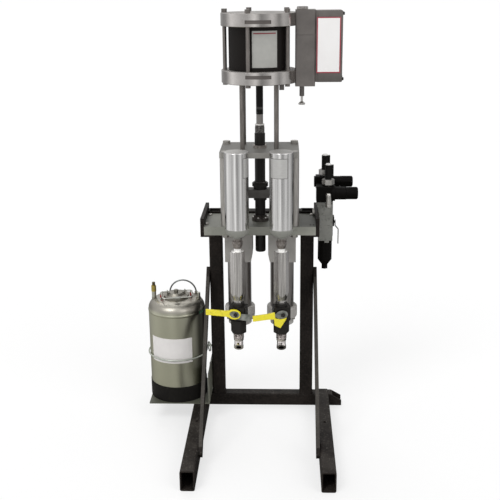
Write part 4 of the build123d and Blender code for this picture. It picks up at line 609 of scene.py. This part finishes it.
# Block cap and cover screws: a knurled steel cap screwed into the top of the valve block, and
# four black screws with domed heads in the right face of the block's cover.
cap_x = 0.150
cap_bore, cap_radius, cap_groove = 0.0160, 0.0197, 0.0010
cap_low, cap_high = 0.002, 0.0082
screw_from_edge, screw_from_end = 0.012, 0.010
domed_head = ((0, -0.001), (0.0055, -0.001), (0.0055, 0.004), (0.004, 0.0056), (0, 0.006))
cover_low, cover_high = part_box("valve_cover")
block_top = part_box("valve_block")[1].z
cap_span = (block_top + cap_low, block_top + cap_high)
knurl = Shape().toothed((cap_x, drive_y), cap_bore, cap_radius, cap_groove, cap_span, teeth=30)
knurl.done("block_cap_knurl", button_steel, "gray_casting")
cover_screws = Shape()
for y in (cover_low.y + screw_from_edge, cover_high.y - screw_from_edge):
    for z in (cover_low.z + screw_from_end, cover_high.z - screw_from_end):
        to_right = Matrix.Translation((cover_high.x, y, z)) @ Matrix.Rotation(pi / 2, 4, "Y")
        cover_screws.turned(domed_head, to_right, sides=24)
cover_screws.done("cover_screws", oiled, "gray_casting")

# Cover sign: a white enamelled steel plate with a thin dark red border and nothing on it, fixed
# flat on the front of the valve's cover.
sign_left, sign_right = 0.1985, 0.2810
sign_low, sign_high = 1.3480, 1.5360
sign_thick = 0.0009
sign_border = 0.0042
sign_sunk = 0.0001
sign_edge = 0.0002
sign_finish = Finish("sign_enamel")
in_panel = sign_finish.axis(0).inside(sign_left + sign_border, sign_right - sign_border)
in_panel = in_panel * sign_finish.axis(2).inside(sign_low + sign_border, sign_high - sign_border)
panel_white = sign_finish.mix(sign_finish.noise(18.0, 4.0), (0.78, 0.765, 0.755), (0.84, 0.83, 0.825))
sign_finish.set(
    base_color=sign_finish.mix(in_panel, (0.30, 0.035, 0.052), panel_white),
    roughness=0.3 + sign_finish.noise(30.0) * 0.12,
)
sign_front, sign_back = cover_low.y - sign_thick, cover_low.y + sign_sunk
sign = Shape().slab((sign_left, sign_front, sign_low), (sign_right, sign_back, sign_high), sign_edge)
sign.done("cover_sign", sign_finish, "gray_casting")

# Ground rods: the spacers, tie rods and plungers, bare steel bar ground to size. Above the upper
# plate the rods are thinner, and have gone darker than below it.
thick_rod_top, thin_rod_foot = 1.060, 1.081
rod_steel = Finish("ground_steel", metallic=0.85)
streak = rod_steel.noise(40.0, 4.0, 0.6, stretch=(6, 6, 0.4))
lathe = rod_steel.noise(60.0, 2.0, 0.5, stretch=(0.3, 0.3, 14))
below_plate = 1.0 - rod_steel.axis(2).between(thick_rod_top, thin_rod_foot)
thin_rod = rod_steel.mix(streak.between(0.3, 0.7), (0.14, 0.127, 0.118), (0.26, 0.238, 0.222))
thick_rod = rod_steel.mix(streak.between(0.3, 0.7), (0.34, 0.325, 0.305), (0.52, 0.50, 0.475))
rod_steel.set(
    base_color=rod_steel.mix(below_plate, thin_rod, thick_rod),
    roughness=0.32 + lathe * 0.2,
    normal=rod_steel.bump(lathe, 0.0001, 0.3),
)
dress(rod_steel, "spacer_rods", "motor_tie_rods", "pump_plungers")

# Guides: worn bushes whose rims show above the plates, the upper one castellated for a hook
# spanner and the lower one held by small screws.
lower_guide_top, upper_guide_foot = 0.95, 1.0
guide_metal = Finish("worn_guide", metallic=0.9)
patina = guide_metal.noise(45.0, 4.0, 0.6)
upper_guide = guide_metal.axis(2).between(lower_guide_top, upper_guide_foot)
dark_guide = guide_metal.mix(patina.between(0.3, 0.7), (0.05, 0.045, 0.041), (0.17, 0.155, 0.145))
pale_guide = guide_metal.mix(patina.between(0.3, 0.7), (0.24, 0.215, 0.20), (0.50, 0.46, 0.43))
guide_metal.set(
    base_color=guide_metal.mix(upper_guide, dark_guide, pale_guide),
    roughness=0.3 + patina * 0.25,
)
dress(guide_metal, "rod_guides")
gland_bore, gland_radius, gland_groove = 0.0205, 0.0242, 0.0015
guide_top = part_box("rod_guides")[1].z
gland_span = (guide_top - 0.0088, guide_top - 0.0006)
gland = Shape().toothed((0.0, drive_y), gland_bore, gland_radius, gland_groove, gland_span, teeth=14)
gland.done("gland_teeth", guide_metal, "bronze")
guide_circle_radius, guide_rise = 0.0276, 0.012
guide_screws = Shape()
for x, y in bolt_circle(0.0, guide_circle_radius, 15):
    hex_head(guide_screws, at(x, y, plate_high.z + guide_rise), across_corners=0.0066, height=0.0045)
guide_screws.done("guide_screws", button_steel, "bronze")

# Motor caps: cast aluminium turned round its rim, warm and faintly streaked, with a dull
# painted recess across the front.
recess_half = 0.0445
recess_back = (-0.12, -0.11)
recess_floor, recess_mouth = (0.128, 0.130), (0.1312, 0.1328)
cap_metal = Finish("turned_aluminium", metallic=1.0)
turned = cap_metal.noise(90.0, 3.0, 0.6, stretch=(0.5, 0.5, 9))
stain = cap_metal.noise(16.0, 5.0, 0.65)
across_cap = cap_metal.axis(0)
ahead_cap = cap_metal.axis(1) - drive_y
from_axis = (across_cap * across_cap + ahead_cap * ahead_cap).math("SQRT")
recessed = (1.0 - from_axis.between(*recess_mouth)) * from_axis.between(*recess_floor)
recessed = recessed * (1.0 - ahead_cap.between(*recess_back)) * across_cap.inside(-recess_half, recess_half)
side_metal = cap_metal.mix(stain.between(0.3, 0.75), (0.59, 0.565, 0.545), (0.465, 0.44, 0.42))
flat_end = facing_up(cap_metal)
end_metal = cap_metal.mix(stain.between(0.3, 0.75), (0.34, 0.325, 0.31), (0.25, 0.235, 0.225))
bare_cap = cap_metal.mix(flat_end, side_metal, end_metal)
cap_metal.set(
    base_color=cap_metal.mix(recessed, bare_cap, (0.175, 0.158, 0.150)),
    roughness=0.10 + turned * 0.14 + recessed * 0.25 + flat_end * 0.4,
    normal=cap_metal.bump(turned, 0.00015, 0.35),
)
dress(cap_metal, "motor_bottom_cap", "motor_top_cap", "motor_piston")

# Motor sleeve: a black wound tube with a dull sheen, and the bare foil plate on its front with
# one thin red line across its head.
sleeve_black = Finish("black_sleeve", specular_ior_level=0.12)
weave = sleeve_black.noise(500.0, 2.0, 0.5, stretch=(1, 1, 0.5))
sleeve_black.set(
    base_color=sleeve_black.mix(weave, (0.0055, 0.0045, 0.0038), (0.0125, 0.0100, 0.0088)),
    roughness=0.36 + weave * 0.2,
    normal=sleeve_black.bump(weave, 0.0003, 0.4),
)
dress(sleeve_black, "motor_sleeve")
label_radius, label_thick = 0.10702, 0.0004
label_turns, label_span = (-11.5, 36.0), (1.3725, 1.4945)
line_height, line_half = 1.4862, 0.0019
line_left, line_right = -0.0165, 0.059
label_foil = Finish("motor_label", metallic=0.25)
line = label_foil.axis(2).inside(line_height - line_half, line_height + line_half)
line = line * label_foil.axis(0).inside(line_left, line_right)
haze_foil = label_foil.noise(40.0, 4.0, 0.6)
foil = label_foil.mix(haze_foil, (0.34, 0.34, 0.32), (0.46, 0.455, 0.43))
label_foil.set(
    base_color=label_foil.mix(line, foil, (0.24, 0.05, 0.06)),
    roughness=0.38 + haze_foil * 0.15,
)
label = Shape().wrapped((0.0, drive_y), label_radius, label_thick, label_turns, label_span)
label.done("motor_label", label_foil, "black_sleeve")

# Black steel: the drive rod, its collars and the valve bodies, blackened and oiled. The motor's
# rod is bare below its wrench flats' shoulder and wears a paler ring above it.
black_steel = Finish("blackened_steel", specular_ior_level=0.28)
oil = black_steel.noise(35.0, 4.0, 0.6)
rub = black_steel.noise(80.0, 5.0, 0.7).between(0.62, 0.72)
blackened = black_steel.mix(oil, (0.007, 0.006, 0.0053), (0.017, 0.0148, 0.013))
black_steel.set(
    base_color=black_steel.mix(rub * 0.5, blackened, (0.08, 0.072, 0.065)),
    roughness=0.28 + oil * 0.25,
)
dress(black_steel, "drive_rod", "crosshead_collars", "ball_valves")
neck_top = 1.2008
rod_ring_low, rod_ring_high = 1.2195, 1.2270
shaft = Finish("motor_shaft", specular_ior_level=0.15)
shaft_height = shaft.axis(2)
is_bare = 1.0 - shaft_height.between(neck_top, neck_top + 0.0006)
shaft_wear = shaft.noise(55.0, 4.0, 0.6)
bare_shaft = shaft.mix(shaft_wear, (0.12, 0.112, 0.105), (0.38, 0.36, 0.345))
on_ring = shaft_height.inside(rod_ring_low, rod_ring_high, 0.001)
dark_shaft = shaft.mix(on_ring, (0.0065, 0.0058, 0.0050), (0.06, 0.058, 0.055))
shaft.set(
    base_color=shaft.mix(is_bare, dark_shaft, bare_shaft),
    metallic=is_bare * 0.9,
    roughness=0.28 + shaft_wear * 0.2,
)
dress(shaft, "motor_rod")

# Coupling: a knurled steel sleeve that joins the two rods, dark in its grooves, with its bare top
# rim painted near white as a painted highlight. A ring of the same steel, with teeth for a hook
# spanner, lies on top of the collars.
coupling_foot, coupling_top = (corner.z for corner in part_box("rod_coupling"))
coupling_rim = 0.0045
coupling_bore, coupling_radius, coupling_groove = 0.0150, 0.0171, 0.0010
coupling_steel = Finish("coupling_steel", metallic=0.7)
# Painted highlight: the top rim is coloured near white.
rim_highlight = coupling_steel.axis(2).inside(coupling_top - coupling_rim, coupling_top + 0.001)
wear = coupling_steel.noise(160.0, 3.0, 0.6).between(0.35, 0.65)
grooved = coupling_steel.mix(wear, (0.05, 0.047, 0.044), (0.20, 0.19, 0.18))
coupling_steel.set(
    base_color=coupling_steel.mix(rim_highlight, grooved, (0.85, 0.83, 0.80)),
    roughness=0.34 + wear * 0.12,
)
dress(coupling_steel, "rod_coupling")
coupling_span = (coupling_foot + 0.003, coupling_top - 0.0115)
coupling_knurl = Shape().toothed(
    (0.0, drive_y), coupling_bore, coupling_radius, coupling_groove, coupling_span, teeth=26
)
coupling_knurl.done("coupling_knurl", coupling_steel, "ground_rod", "drive")
collar_bore, collar_radius, collar_groove = 0.0192, 0.0225, 0.0015
collar_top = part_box("crosshead_collars")[1].z
collar_span = (collar_top - 0.0005, collar_top + 0.004)
collar_teeth = Shape().toothed(
    (0.0, drive_y), collar_bore, collar_radius, collar_groove, collar_span, teeth=16
)
collar_teeth.done("collar_teeth", coupling_steel, "black_oxide", "drive")


# Brushed steel: the surge chambers are stainless tube brushed along its length, with duller turned
# ends. The filter bodies are drawn stainless hex bar with finer lines, and a painted highlight makes
# their neck and the top edge of the body near white. The pump barrels are darker.
def brushed_steel(name, dark, light, lines, gloss, streaks=0.35):
    """Steel tube or bar brushed along its length."""
    steel = Finish(name, metallic=1.0)
    brushed = steel.noise(lines, 4.0, 0.65, stretch=(4, 4, 0.06))
    clouded = steel.mix(steel.noise(10.0, 4.0, 0.6), dark, light)
    shaded = tuple(0.45 * part for part in dark)
    steel.set(
        base_color=steel.mix(brushed.between(0.35, 0.65) * streaks, clouded, shaded),
        roughness=gloss + brushed * 0.12,
        normal=steel.bump(brushed, 0.00006, 0.25),
    )
    return steel


chamber_steel = brushed_steel("chamber_stainless", (0.72, 0.71, 0.70), (0.81, 0.80, 0.79), 60.0, 0.10)
turned_end = facing_up(chamber_steel)
chamber_steel.cover(turned_end, (0.50, 0.49, 0.475))
chamber_steel.set(roughness=chamber_steel.so_far("Roughness") + turned_end * 0.35)
dress(chamber_steel, "surge_chambers")

neck_foot = 0.7365
filter_steel = brushed_steel("filter_stainless", (0.66, 0.635, 0.615), (0.82, 0.795, 0.78), 75.0, 0.2, 0.75)
# Painted highlight: everything above the neck's foot is coloured near white and made less metallic.
neck_highlight = filter_steel.axis(2).between(neck_foot, neck_foot + 0.001)
filter_steel.cover(neck_highlight, (0.95, 0.94, 0.92))
filter_steel.set(metallic=1.0 - neck_highlight * 0.6)
dress(filter_steel, "filter_bodies")

barrel_steel = brushed_steel("barrel_steel", (0.26, 0.245, 0.235), (0.42, 0.40, 0.385), 50.0, 0.26)
dress(barrel_steel, "pump_barrels")

# Chamber plates: bare metal foil plates, bent and stuck round the chambers, with nothing on them
# but a painted shadow, a darker line round their edge.
chamber_x, chamber_y = 0.078, -0.2779
foil_radius, foil_thick = 0.04252, 0.0004
foil_foot, foil_top = 1.0072, 1.0765
foil_turns = {"left": (36.0, 122.0), "right": (-62.0, 31.0)}
foil_fields = ((-0.0518, 0.0), (0.0416, 0.0988))
edge_shadow_width = 0.0016
plate_finish = Finish("chamber_plate_foil", metallic=0.55)
plate_haze = plate_finish.noise(60.0, 4.0, 0.6, stretch=(1, 1, 5))
upright_field = plate_finish.axis(2).inside(foil_foot + edge_shadow_width, foil_top - edge_shadow_width)
across_field = sum(plate_finish.axis(0).inside(left, right) for left, right in foil_fields)
plain_foil = plate_finish.mix(plate_haze, (0.46, 0.455, 0.445), (0.62, 0.615, 0.60))
# Painted shadow: a dark line round the edge of each plate.
plate_finish.set(
    base_color=plate_finish.mix(1.0 - upright_field * across_field, plain_foil, (0.10, 0.095, 0.09)),
    roughness=0.34 + plate_haze * 0.16,
)
for hand, x in (("left", -chamber_x), ("right", chamber_x)):
    chamber_plate = Shape().wrapped(
        (x, chamber_y), foil_radius, foil_thick, foil_turns[hand], (foil_foot, foil_top)
    )
    chamber_plate.done(f"{hand}_chamber_plate", plate_finish, "stainless")

# Outlets: turned brass under bright nickel plate, with a coarse duller thread under each union
# nut. Their mouths point forward and down, and painted shade makes them near black inside the bore.
mouth_y, mouth_z = -0.2890, 0.3744
mouth_lean = radians(35.0)
mouth_bore = 0.0098
nickel = Finish("bright_nickel", specular_ior_level=0.1)
film = nickel.noise(55.0, 3.0)
side_x = nickel.axis(0).math("ABSOLUTE") - chamber_x
from_mouth_y = nickel.axis(1) - mouth_y
from_mouth_z = nickel.axis(2) - mouth_z
along = (from_mouth_y * cos(mouth_lean) + from_mouth_z * sin(mouth_lean)) * -1.0
aside = from_mouth_y * sin(mouth_lean) - from_mouth_z * cos(mouth_lean)
# Painted shade: the inside of the bore is coloured near black.
bore_shade = 1.0 - (side_x * side_x + aside * aside).math("SQRT").between(mouth_bore, mouth_bore + 0.0002)
bore_shade = bore_shade * along.between(-0.013, -0.012)
plated = nickel.mix(film, (0.74, 0.69, 0.67), (0.90, 0.86, 0.84))
nickel.set(
    base_color=nickel.mix(bore_shade, plated, (0.006, 0.005, 0.005)),
    metallic=1.0 - bore_shade,
    roughness=0.06 + film * 0.1 + bore_shade * 0.4,
)
dress(nickel, "left_outlet", "right_outlet")
thread_top = 0.4250
thread_radius = 0.0180
thread_pitch = 0.0030
thread_depth = 0.0011
thread_turns = 7
thread_sunk, thread_proud = 0.0005, 0.0002
thread_dull = Finish("outlet_thread", metallic=0.8, roughness=0.4)
thread_wear = thread_dull.noise(220.0, 3.0).between(0.4, 0.6)
thread_dull.set(base_color=thread_dull.mix(thread_wear, (0.12, 0.10, 0.095), (0.46, 0.42, 0.4)))
thread_end = -thread_turns * thread_pitch
thread_profile = [(thread_radius - thread_sunk, 0.0)]
for ridge in range(thread_turns):
    foot = -ridge * thread_pitch
    thread_profile.append((thread_radius + thread_proud, foot))
    thread_profile.append((thread_radius + thread_depth, foot - thread_pitch / 2))
thread_profile.append((thread_radius + thread_proud, thread_end))
thread_profile.append((thread_radius - thread_sunk, thread_end))
for hand in ("left", "right"):
    outlet_low, outlet_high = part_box(f"{hand}_outlet")
    place = at((outlet_low.x + outlet_high.x) / 2, chamber_y, thread_top)
    thread = Shape().turned(thread_profile, place, sides=36, closed=True)
    thread.done(f"{hand}_outlet_thread", thread_dull, "nickel", f"{hand}_outlet", sharp=20)

# Air fittings: push-in fittings of plated brass with black moulded bodies, silver hexes and pale
# release collars. The rear ones stand higher than the front ones.
body_foot, body_top = 0.9552, 1.0088
rear_rise = 0.0210
front_to, rear_from = -0.049, -0.048
fitting = Finish("push_in_fitting", specular_ior_level=0.12)
at_rear = fitting.axis(1).between(front_to, rear_from)
fitting_height = fitting.axis(2) - at_rear * rear_rise
is_black = fitting_height.inside(body_foot, body_top)
is_collar = fitting_height.between(body_top, body_top + 0.0004)
silver = fitting.mix(fitting.noise(90.0), (0.30, 0.29, 0.27), (0.72, 0.70, 0.67))
silver = fitting.mix(is_collar, silver, (0.93, 0.92, 0.90))
fitting.set(
    base_color=fitting.mix(is_black, silver, (0.005, 0.0045, 0.004)),
    metallic=1.0 - is_black - is_collar * 0.7,
    roughness=0.2 + is_black * 0.2 + fitting.noise(120.0) * 0.08,
)
dress(fitting, "air_fittings")

# Shut-off lever: a bent strip of dull plated steel, held on the stem of the air line's shut-off
# valve.
strip = Finish("plated_strip", metallic=0.9, roughness=0.35)
strip.set(base_color=strip.mix(strip.noise(70.0), (0.05, 0.048, 0.046), (0.12, 0.115, 0.11)))
dress(strip, "air_valve_lever")

# Levers: zinc plated steel strip with a greenish cast. Each is held on its valve's stem by a
# black nut, with the stem's end showing through it.
lever_zinc = Finish("lever_zinc", metallic=0.6)
cast = lever_zinc.noise(70.0, 4.0, 0.6)
lever_zinc.set(
    base_color=lever_zinc.mix(cast.between(0.3, 0.7), (0.15, 0.16, 0.145), (0.33, 0.34, 0.315)),
    roughness=0.34 + cast * 0.2,
)
dress(lever_zinc, "left_lever", "right_lever")
stem_height = 0.5075
stem_reach = 0.0350
nut_profile = (
    (0, 0.0), (0.0086, 0.0), (0.0086, 0.0046), (0.0074, 0.0054),
    (0.0052, 0.0054), (0.0052, 0.0080), (0.0042, 0.0086), (0, 0.0086),
)
for hand, x, turn in (("left", -chamber_x, -13.0), ("right", chamber_x, 10.0)):
    angle = radians(turn)
    way = Vector((sin(angle), -cos(angle), 0))
    origin = Vector((x, chamber_y, stem_height)) + way * stem_reach
    nut = Shape().turned(nut_profile, Matrix.Translation(origin) @ facing(way), sides=6, start=pi / 6)
    nut.done(f"{hand}_stem_nut", oiled, "zinc_lever", f"{hand}_lever")

# Grips: the lever ends are dipped in liquid vinyl, which sets yellow and glossy. Hands have made
# it a little grubby.
vinyl = Finish("yellow_vinyl", coat_weight=0.15)
grub = vinyl.noise(90.0, 5.0, 0.65).between(0.56, 0.72)
vinyl.set(
    base_color=vinyl.mix(grub * 0.7, (0.76, 0.66, 0.022), (0.26, 0.22, 0.03)),
    roughness=0.3 + grub * 0.25,
)
dress(vinyl, "left_grip", "right_grip")

# Air controls: the filter, valve, regulators, their knobs and the drain cock, all of black
# moulded plastic with the fine grain of a spark-eroded mould.
plastic = Finish("black_plastic", specular_ior_level=0.06)
moulded = plastic.noise(700.0, 2.0)
plastic.set(
    base_color=plastic.mix(moulded, (0.0024, 0.0020, 0.0017), (0.0046, 0.0039, 0.0034)),
    roughness=0.34 + moulded * 0.18,
    normal=plastic.bump(moulded, 0.0002, 0.3),
)
dress(plastic, "air_filter", "air_valve", "air_regulators", "front_knob", "rear_knob", "drain_cock")

# Tank: a stainless keg, brushed round, its colour tinted olive as a painted reflection of its
# surroundings, with its dome darker, its lid darker still, and painted shade on the side that
# faces the stand. It bears a blank white paper label and a scrap of green tape.
tank_centre = (-0.332, -0.0554)
tank_radius = 0.1095
shoulder_low, shoulder_high = 0.442, 0.456
lid_from, lid_to = 0.484, 0.488
shade_from, shade_to = -0.262, -0.236
tank_metal = Finish("keg_stainless", metallic=1.0)
drawn = tank_metal.noise(60.0, 4.0, 0.6, stretch=(0.3, 0.3, 8))
worn_tank = tank_metal.noise(8.0, 5.0, 0.6)
# The olive tint in these colours is a painted reflection of the surroundings.
side_steel = tank_metal.mix(worn_tank, (0.437, 0.434, 0.338), (0.553, 0.550, 0.445))
dome_steel = tank_metal.mix(worn_tank, (0.318, 0.302, 0.264), (0.408, 0.390, 0.342))
is_lid = tank_metal.axis(2).between(lid_from, lid_to)
dome_steel = tank_metal.mix(is_lid * 0.25, dome_steel, (0.02, 0.018, 0.012))
is_dome = tank_metal.axis(2).between(shoulder_low, shoulder_high)
# Painted shade on the side of the shell that faces the stand.
stand_side_shade = tank_metal.axis(0).between(shade_from, shade_to) * 0.92
shell_steel = tank_metal.mix(stand_side_shade * (1.0 - is_dome), side_steel, (0.07, 0.065, 0.05))
tank_metal.set(
    base_color=tank_metal.mix(is_dome, shell_steel, dome_steel),
    roughness=0.29 + drawn * 0.08 + is_dome * 0.06,
)
dress(tank_metal, "tank_shell", "tank_lid")
paper_radius, paper_thick = tank_radius + 0.00002, 0.0003
paper_turns, paper_span = (-54.0, 36.5), (0.246, 0.347)
paper = Finish("tank_label_paper", roughness=0.55)
paper.set(base_color=paper.mix(paper.noise(25.0, 4.0), (0.64, 0.615, 0.60), (0.74, 0.72, 0.705)))
tank_label = Shape().wrapped(tank_centre, paper_radius, paper_thick, paper_turns, paper_span, steps=32)
tank_label.done("tank_label", paper, "tank_steel", "tank")
tape_radius, tape_thick = 0.11098, 0.0004
tape_turns, tape_span = (58.0, 74.0), (0.4325, 0.4420)
tape = Finish("green_tape", roughness=0.5)
tape.set(base_color=tape.mix(tape.noise(60.0), (0.02, 0.11, 0.05), (0.04, 0.2, 0.09)))
tag = Shape().wrapped(tank_centre, tape_radius, tape_thick, tape_turns, tape_span, steps=8)
tag.done("tank_tape", tape, "tank_steel", "tank")

# Hoop: a zinc plated steel wire with a green-gray cast, bent round the keg and joined to the
# stand's left post by a lug.
wire_zinc = Finish("hoop_wire", metallic=0.6, roughness=0.4)
wire_zinc.set(base_color=wire_zinc.mix(wire_zinc.noise(50.0), (0.34, 0.36, 0.32), (0.54, 0.57, 0.51)))
dress(wire_zinc, "tank_hoop")

# Boot: a black rubber cup moulded to hold the keg's foot. Rubber goes dull and powdery, so its
# gloss varies.
rubber = Finish("black_rubber", specular_ior_level=0.1)
powder = rubber.noise(60.0, 4.0, 0.6)
rubber.set(
    base_color=rubber.mix(powder, (0.0055, 0.005, 0.0045), (0.013, 0.012, 0.0105)),
    roughness=0.48 + powder * 0.25,
)
dress(rubber, "tank_boot")

# Keg wire: the carrying handle and the lid's bail, bent from bare steel wire. The bail's feet wear
# red rubber sleeves.
wire_steel = Finish("dark_wire", metallic=1.0, roughness=0.35)
wire_steel.set(base_color=wire_steel.mix(wire_steel.noise(90.0), (0.12, 0.13, 0.13), (0.30, 0.31, 0.31)))
dress(wire_steel, "carry_handle")
bail_steel = Finish("bail_wire", metallic=1.0, roughness=0.3)
bail_steel.set(base_color=bail_steel.mix(bail_steel.noise(90.0), (0.34, 0.34, 0.31), (0.55, 0.55, 0.51)))
dress(bail_steel, "lid_bail")
bail_turn = radians(12.0)
bail_across = Vector((cos(bail_turn), sin(bail_turn), 0))
bail_ahead = Vector((sin(bail_turn), -cos(bail_turn), 0))
bail_half = 0.058
bail_foot_ahead = 0.006
sleeve_low, sleeve_high = 0.4832, 0.4975
sleeve_profile = (
    (0.0046, sleeve_high), (0.0058, sleeve_high - 0.0004), (0.0060, sleeve_low + 0.002), (0.0044, sleeve_low)
)
red_rubber = Finish("red_rubber", roughness=0.5)
red_rubber.set(base_color=red_rubber.mix(red_rubber.noise(120.0), (0.20, 0.020, 0.016), (0.34, 0.04, 0.03)))
sleeves = Shape()
for side in (-1, 1):
    foot = Vector((*tank_centre, 0)) + bail_across * side * bail_half + bail_ahead * bail_foot_ahead
    sleeves.turned(sleeve_profile, Matrix.Translation(foot), sides=20, closed=True)
sleeves.done("bail_sleeves", red_rubber, "handle_steel", "lid_bail")

# Tank posts: turned steel posts on the keg's dome, to the left and right of its lid. The left one
# carries a brass coupling, whose nipple is dark at its tip.
brass_foot, tip_foot = 0.5040, 0.5285
post_metal = Finish("post_brass", metallic=1.0)
post_height = post_metal.axis(2)
dull = post_metal.noise(80.0, 3.0)
pale_post = post_metal.mix(dull, (0.42, 0.42, 0.37), (0.62, 0.62, 0.56))
brass_post = post_metal.mix(dull, (0.36, 0.27, 0.06), (0.62, 0.5, 0.16))
is_tip = post_height.between(tip_foot, tip_foot + 0.0005)
brass_post = post_metal.mix(is_tip, brass_post, (0.10, 0.075, 0.03))
is_brass = post_height.between(brass_foot, brass_foot + 0.0005)
post_metal.set(
    base_color=post_metal.mix(is_brass, pale_post, brass_post),
    roughness=0.22 + dull * 0.2,
)
dress(post_metal, "tank_fittings")
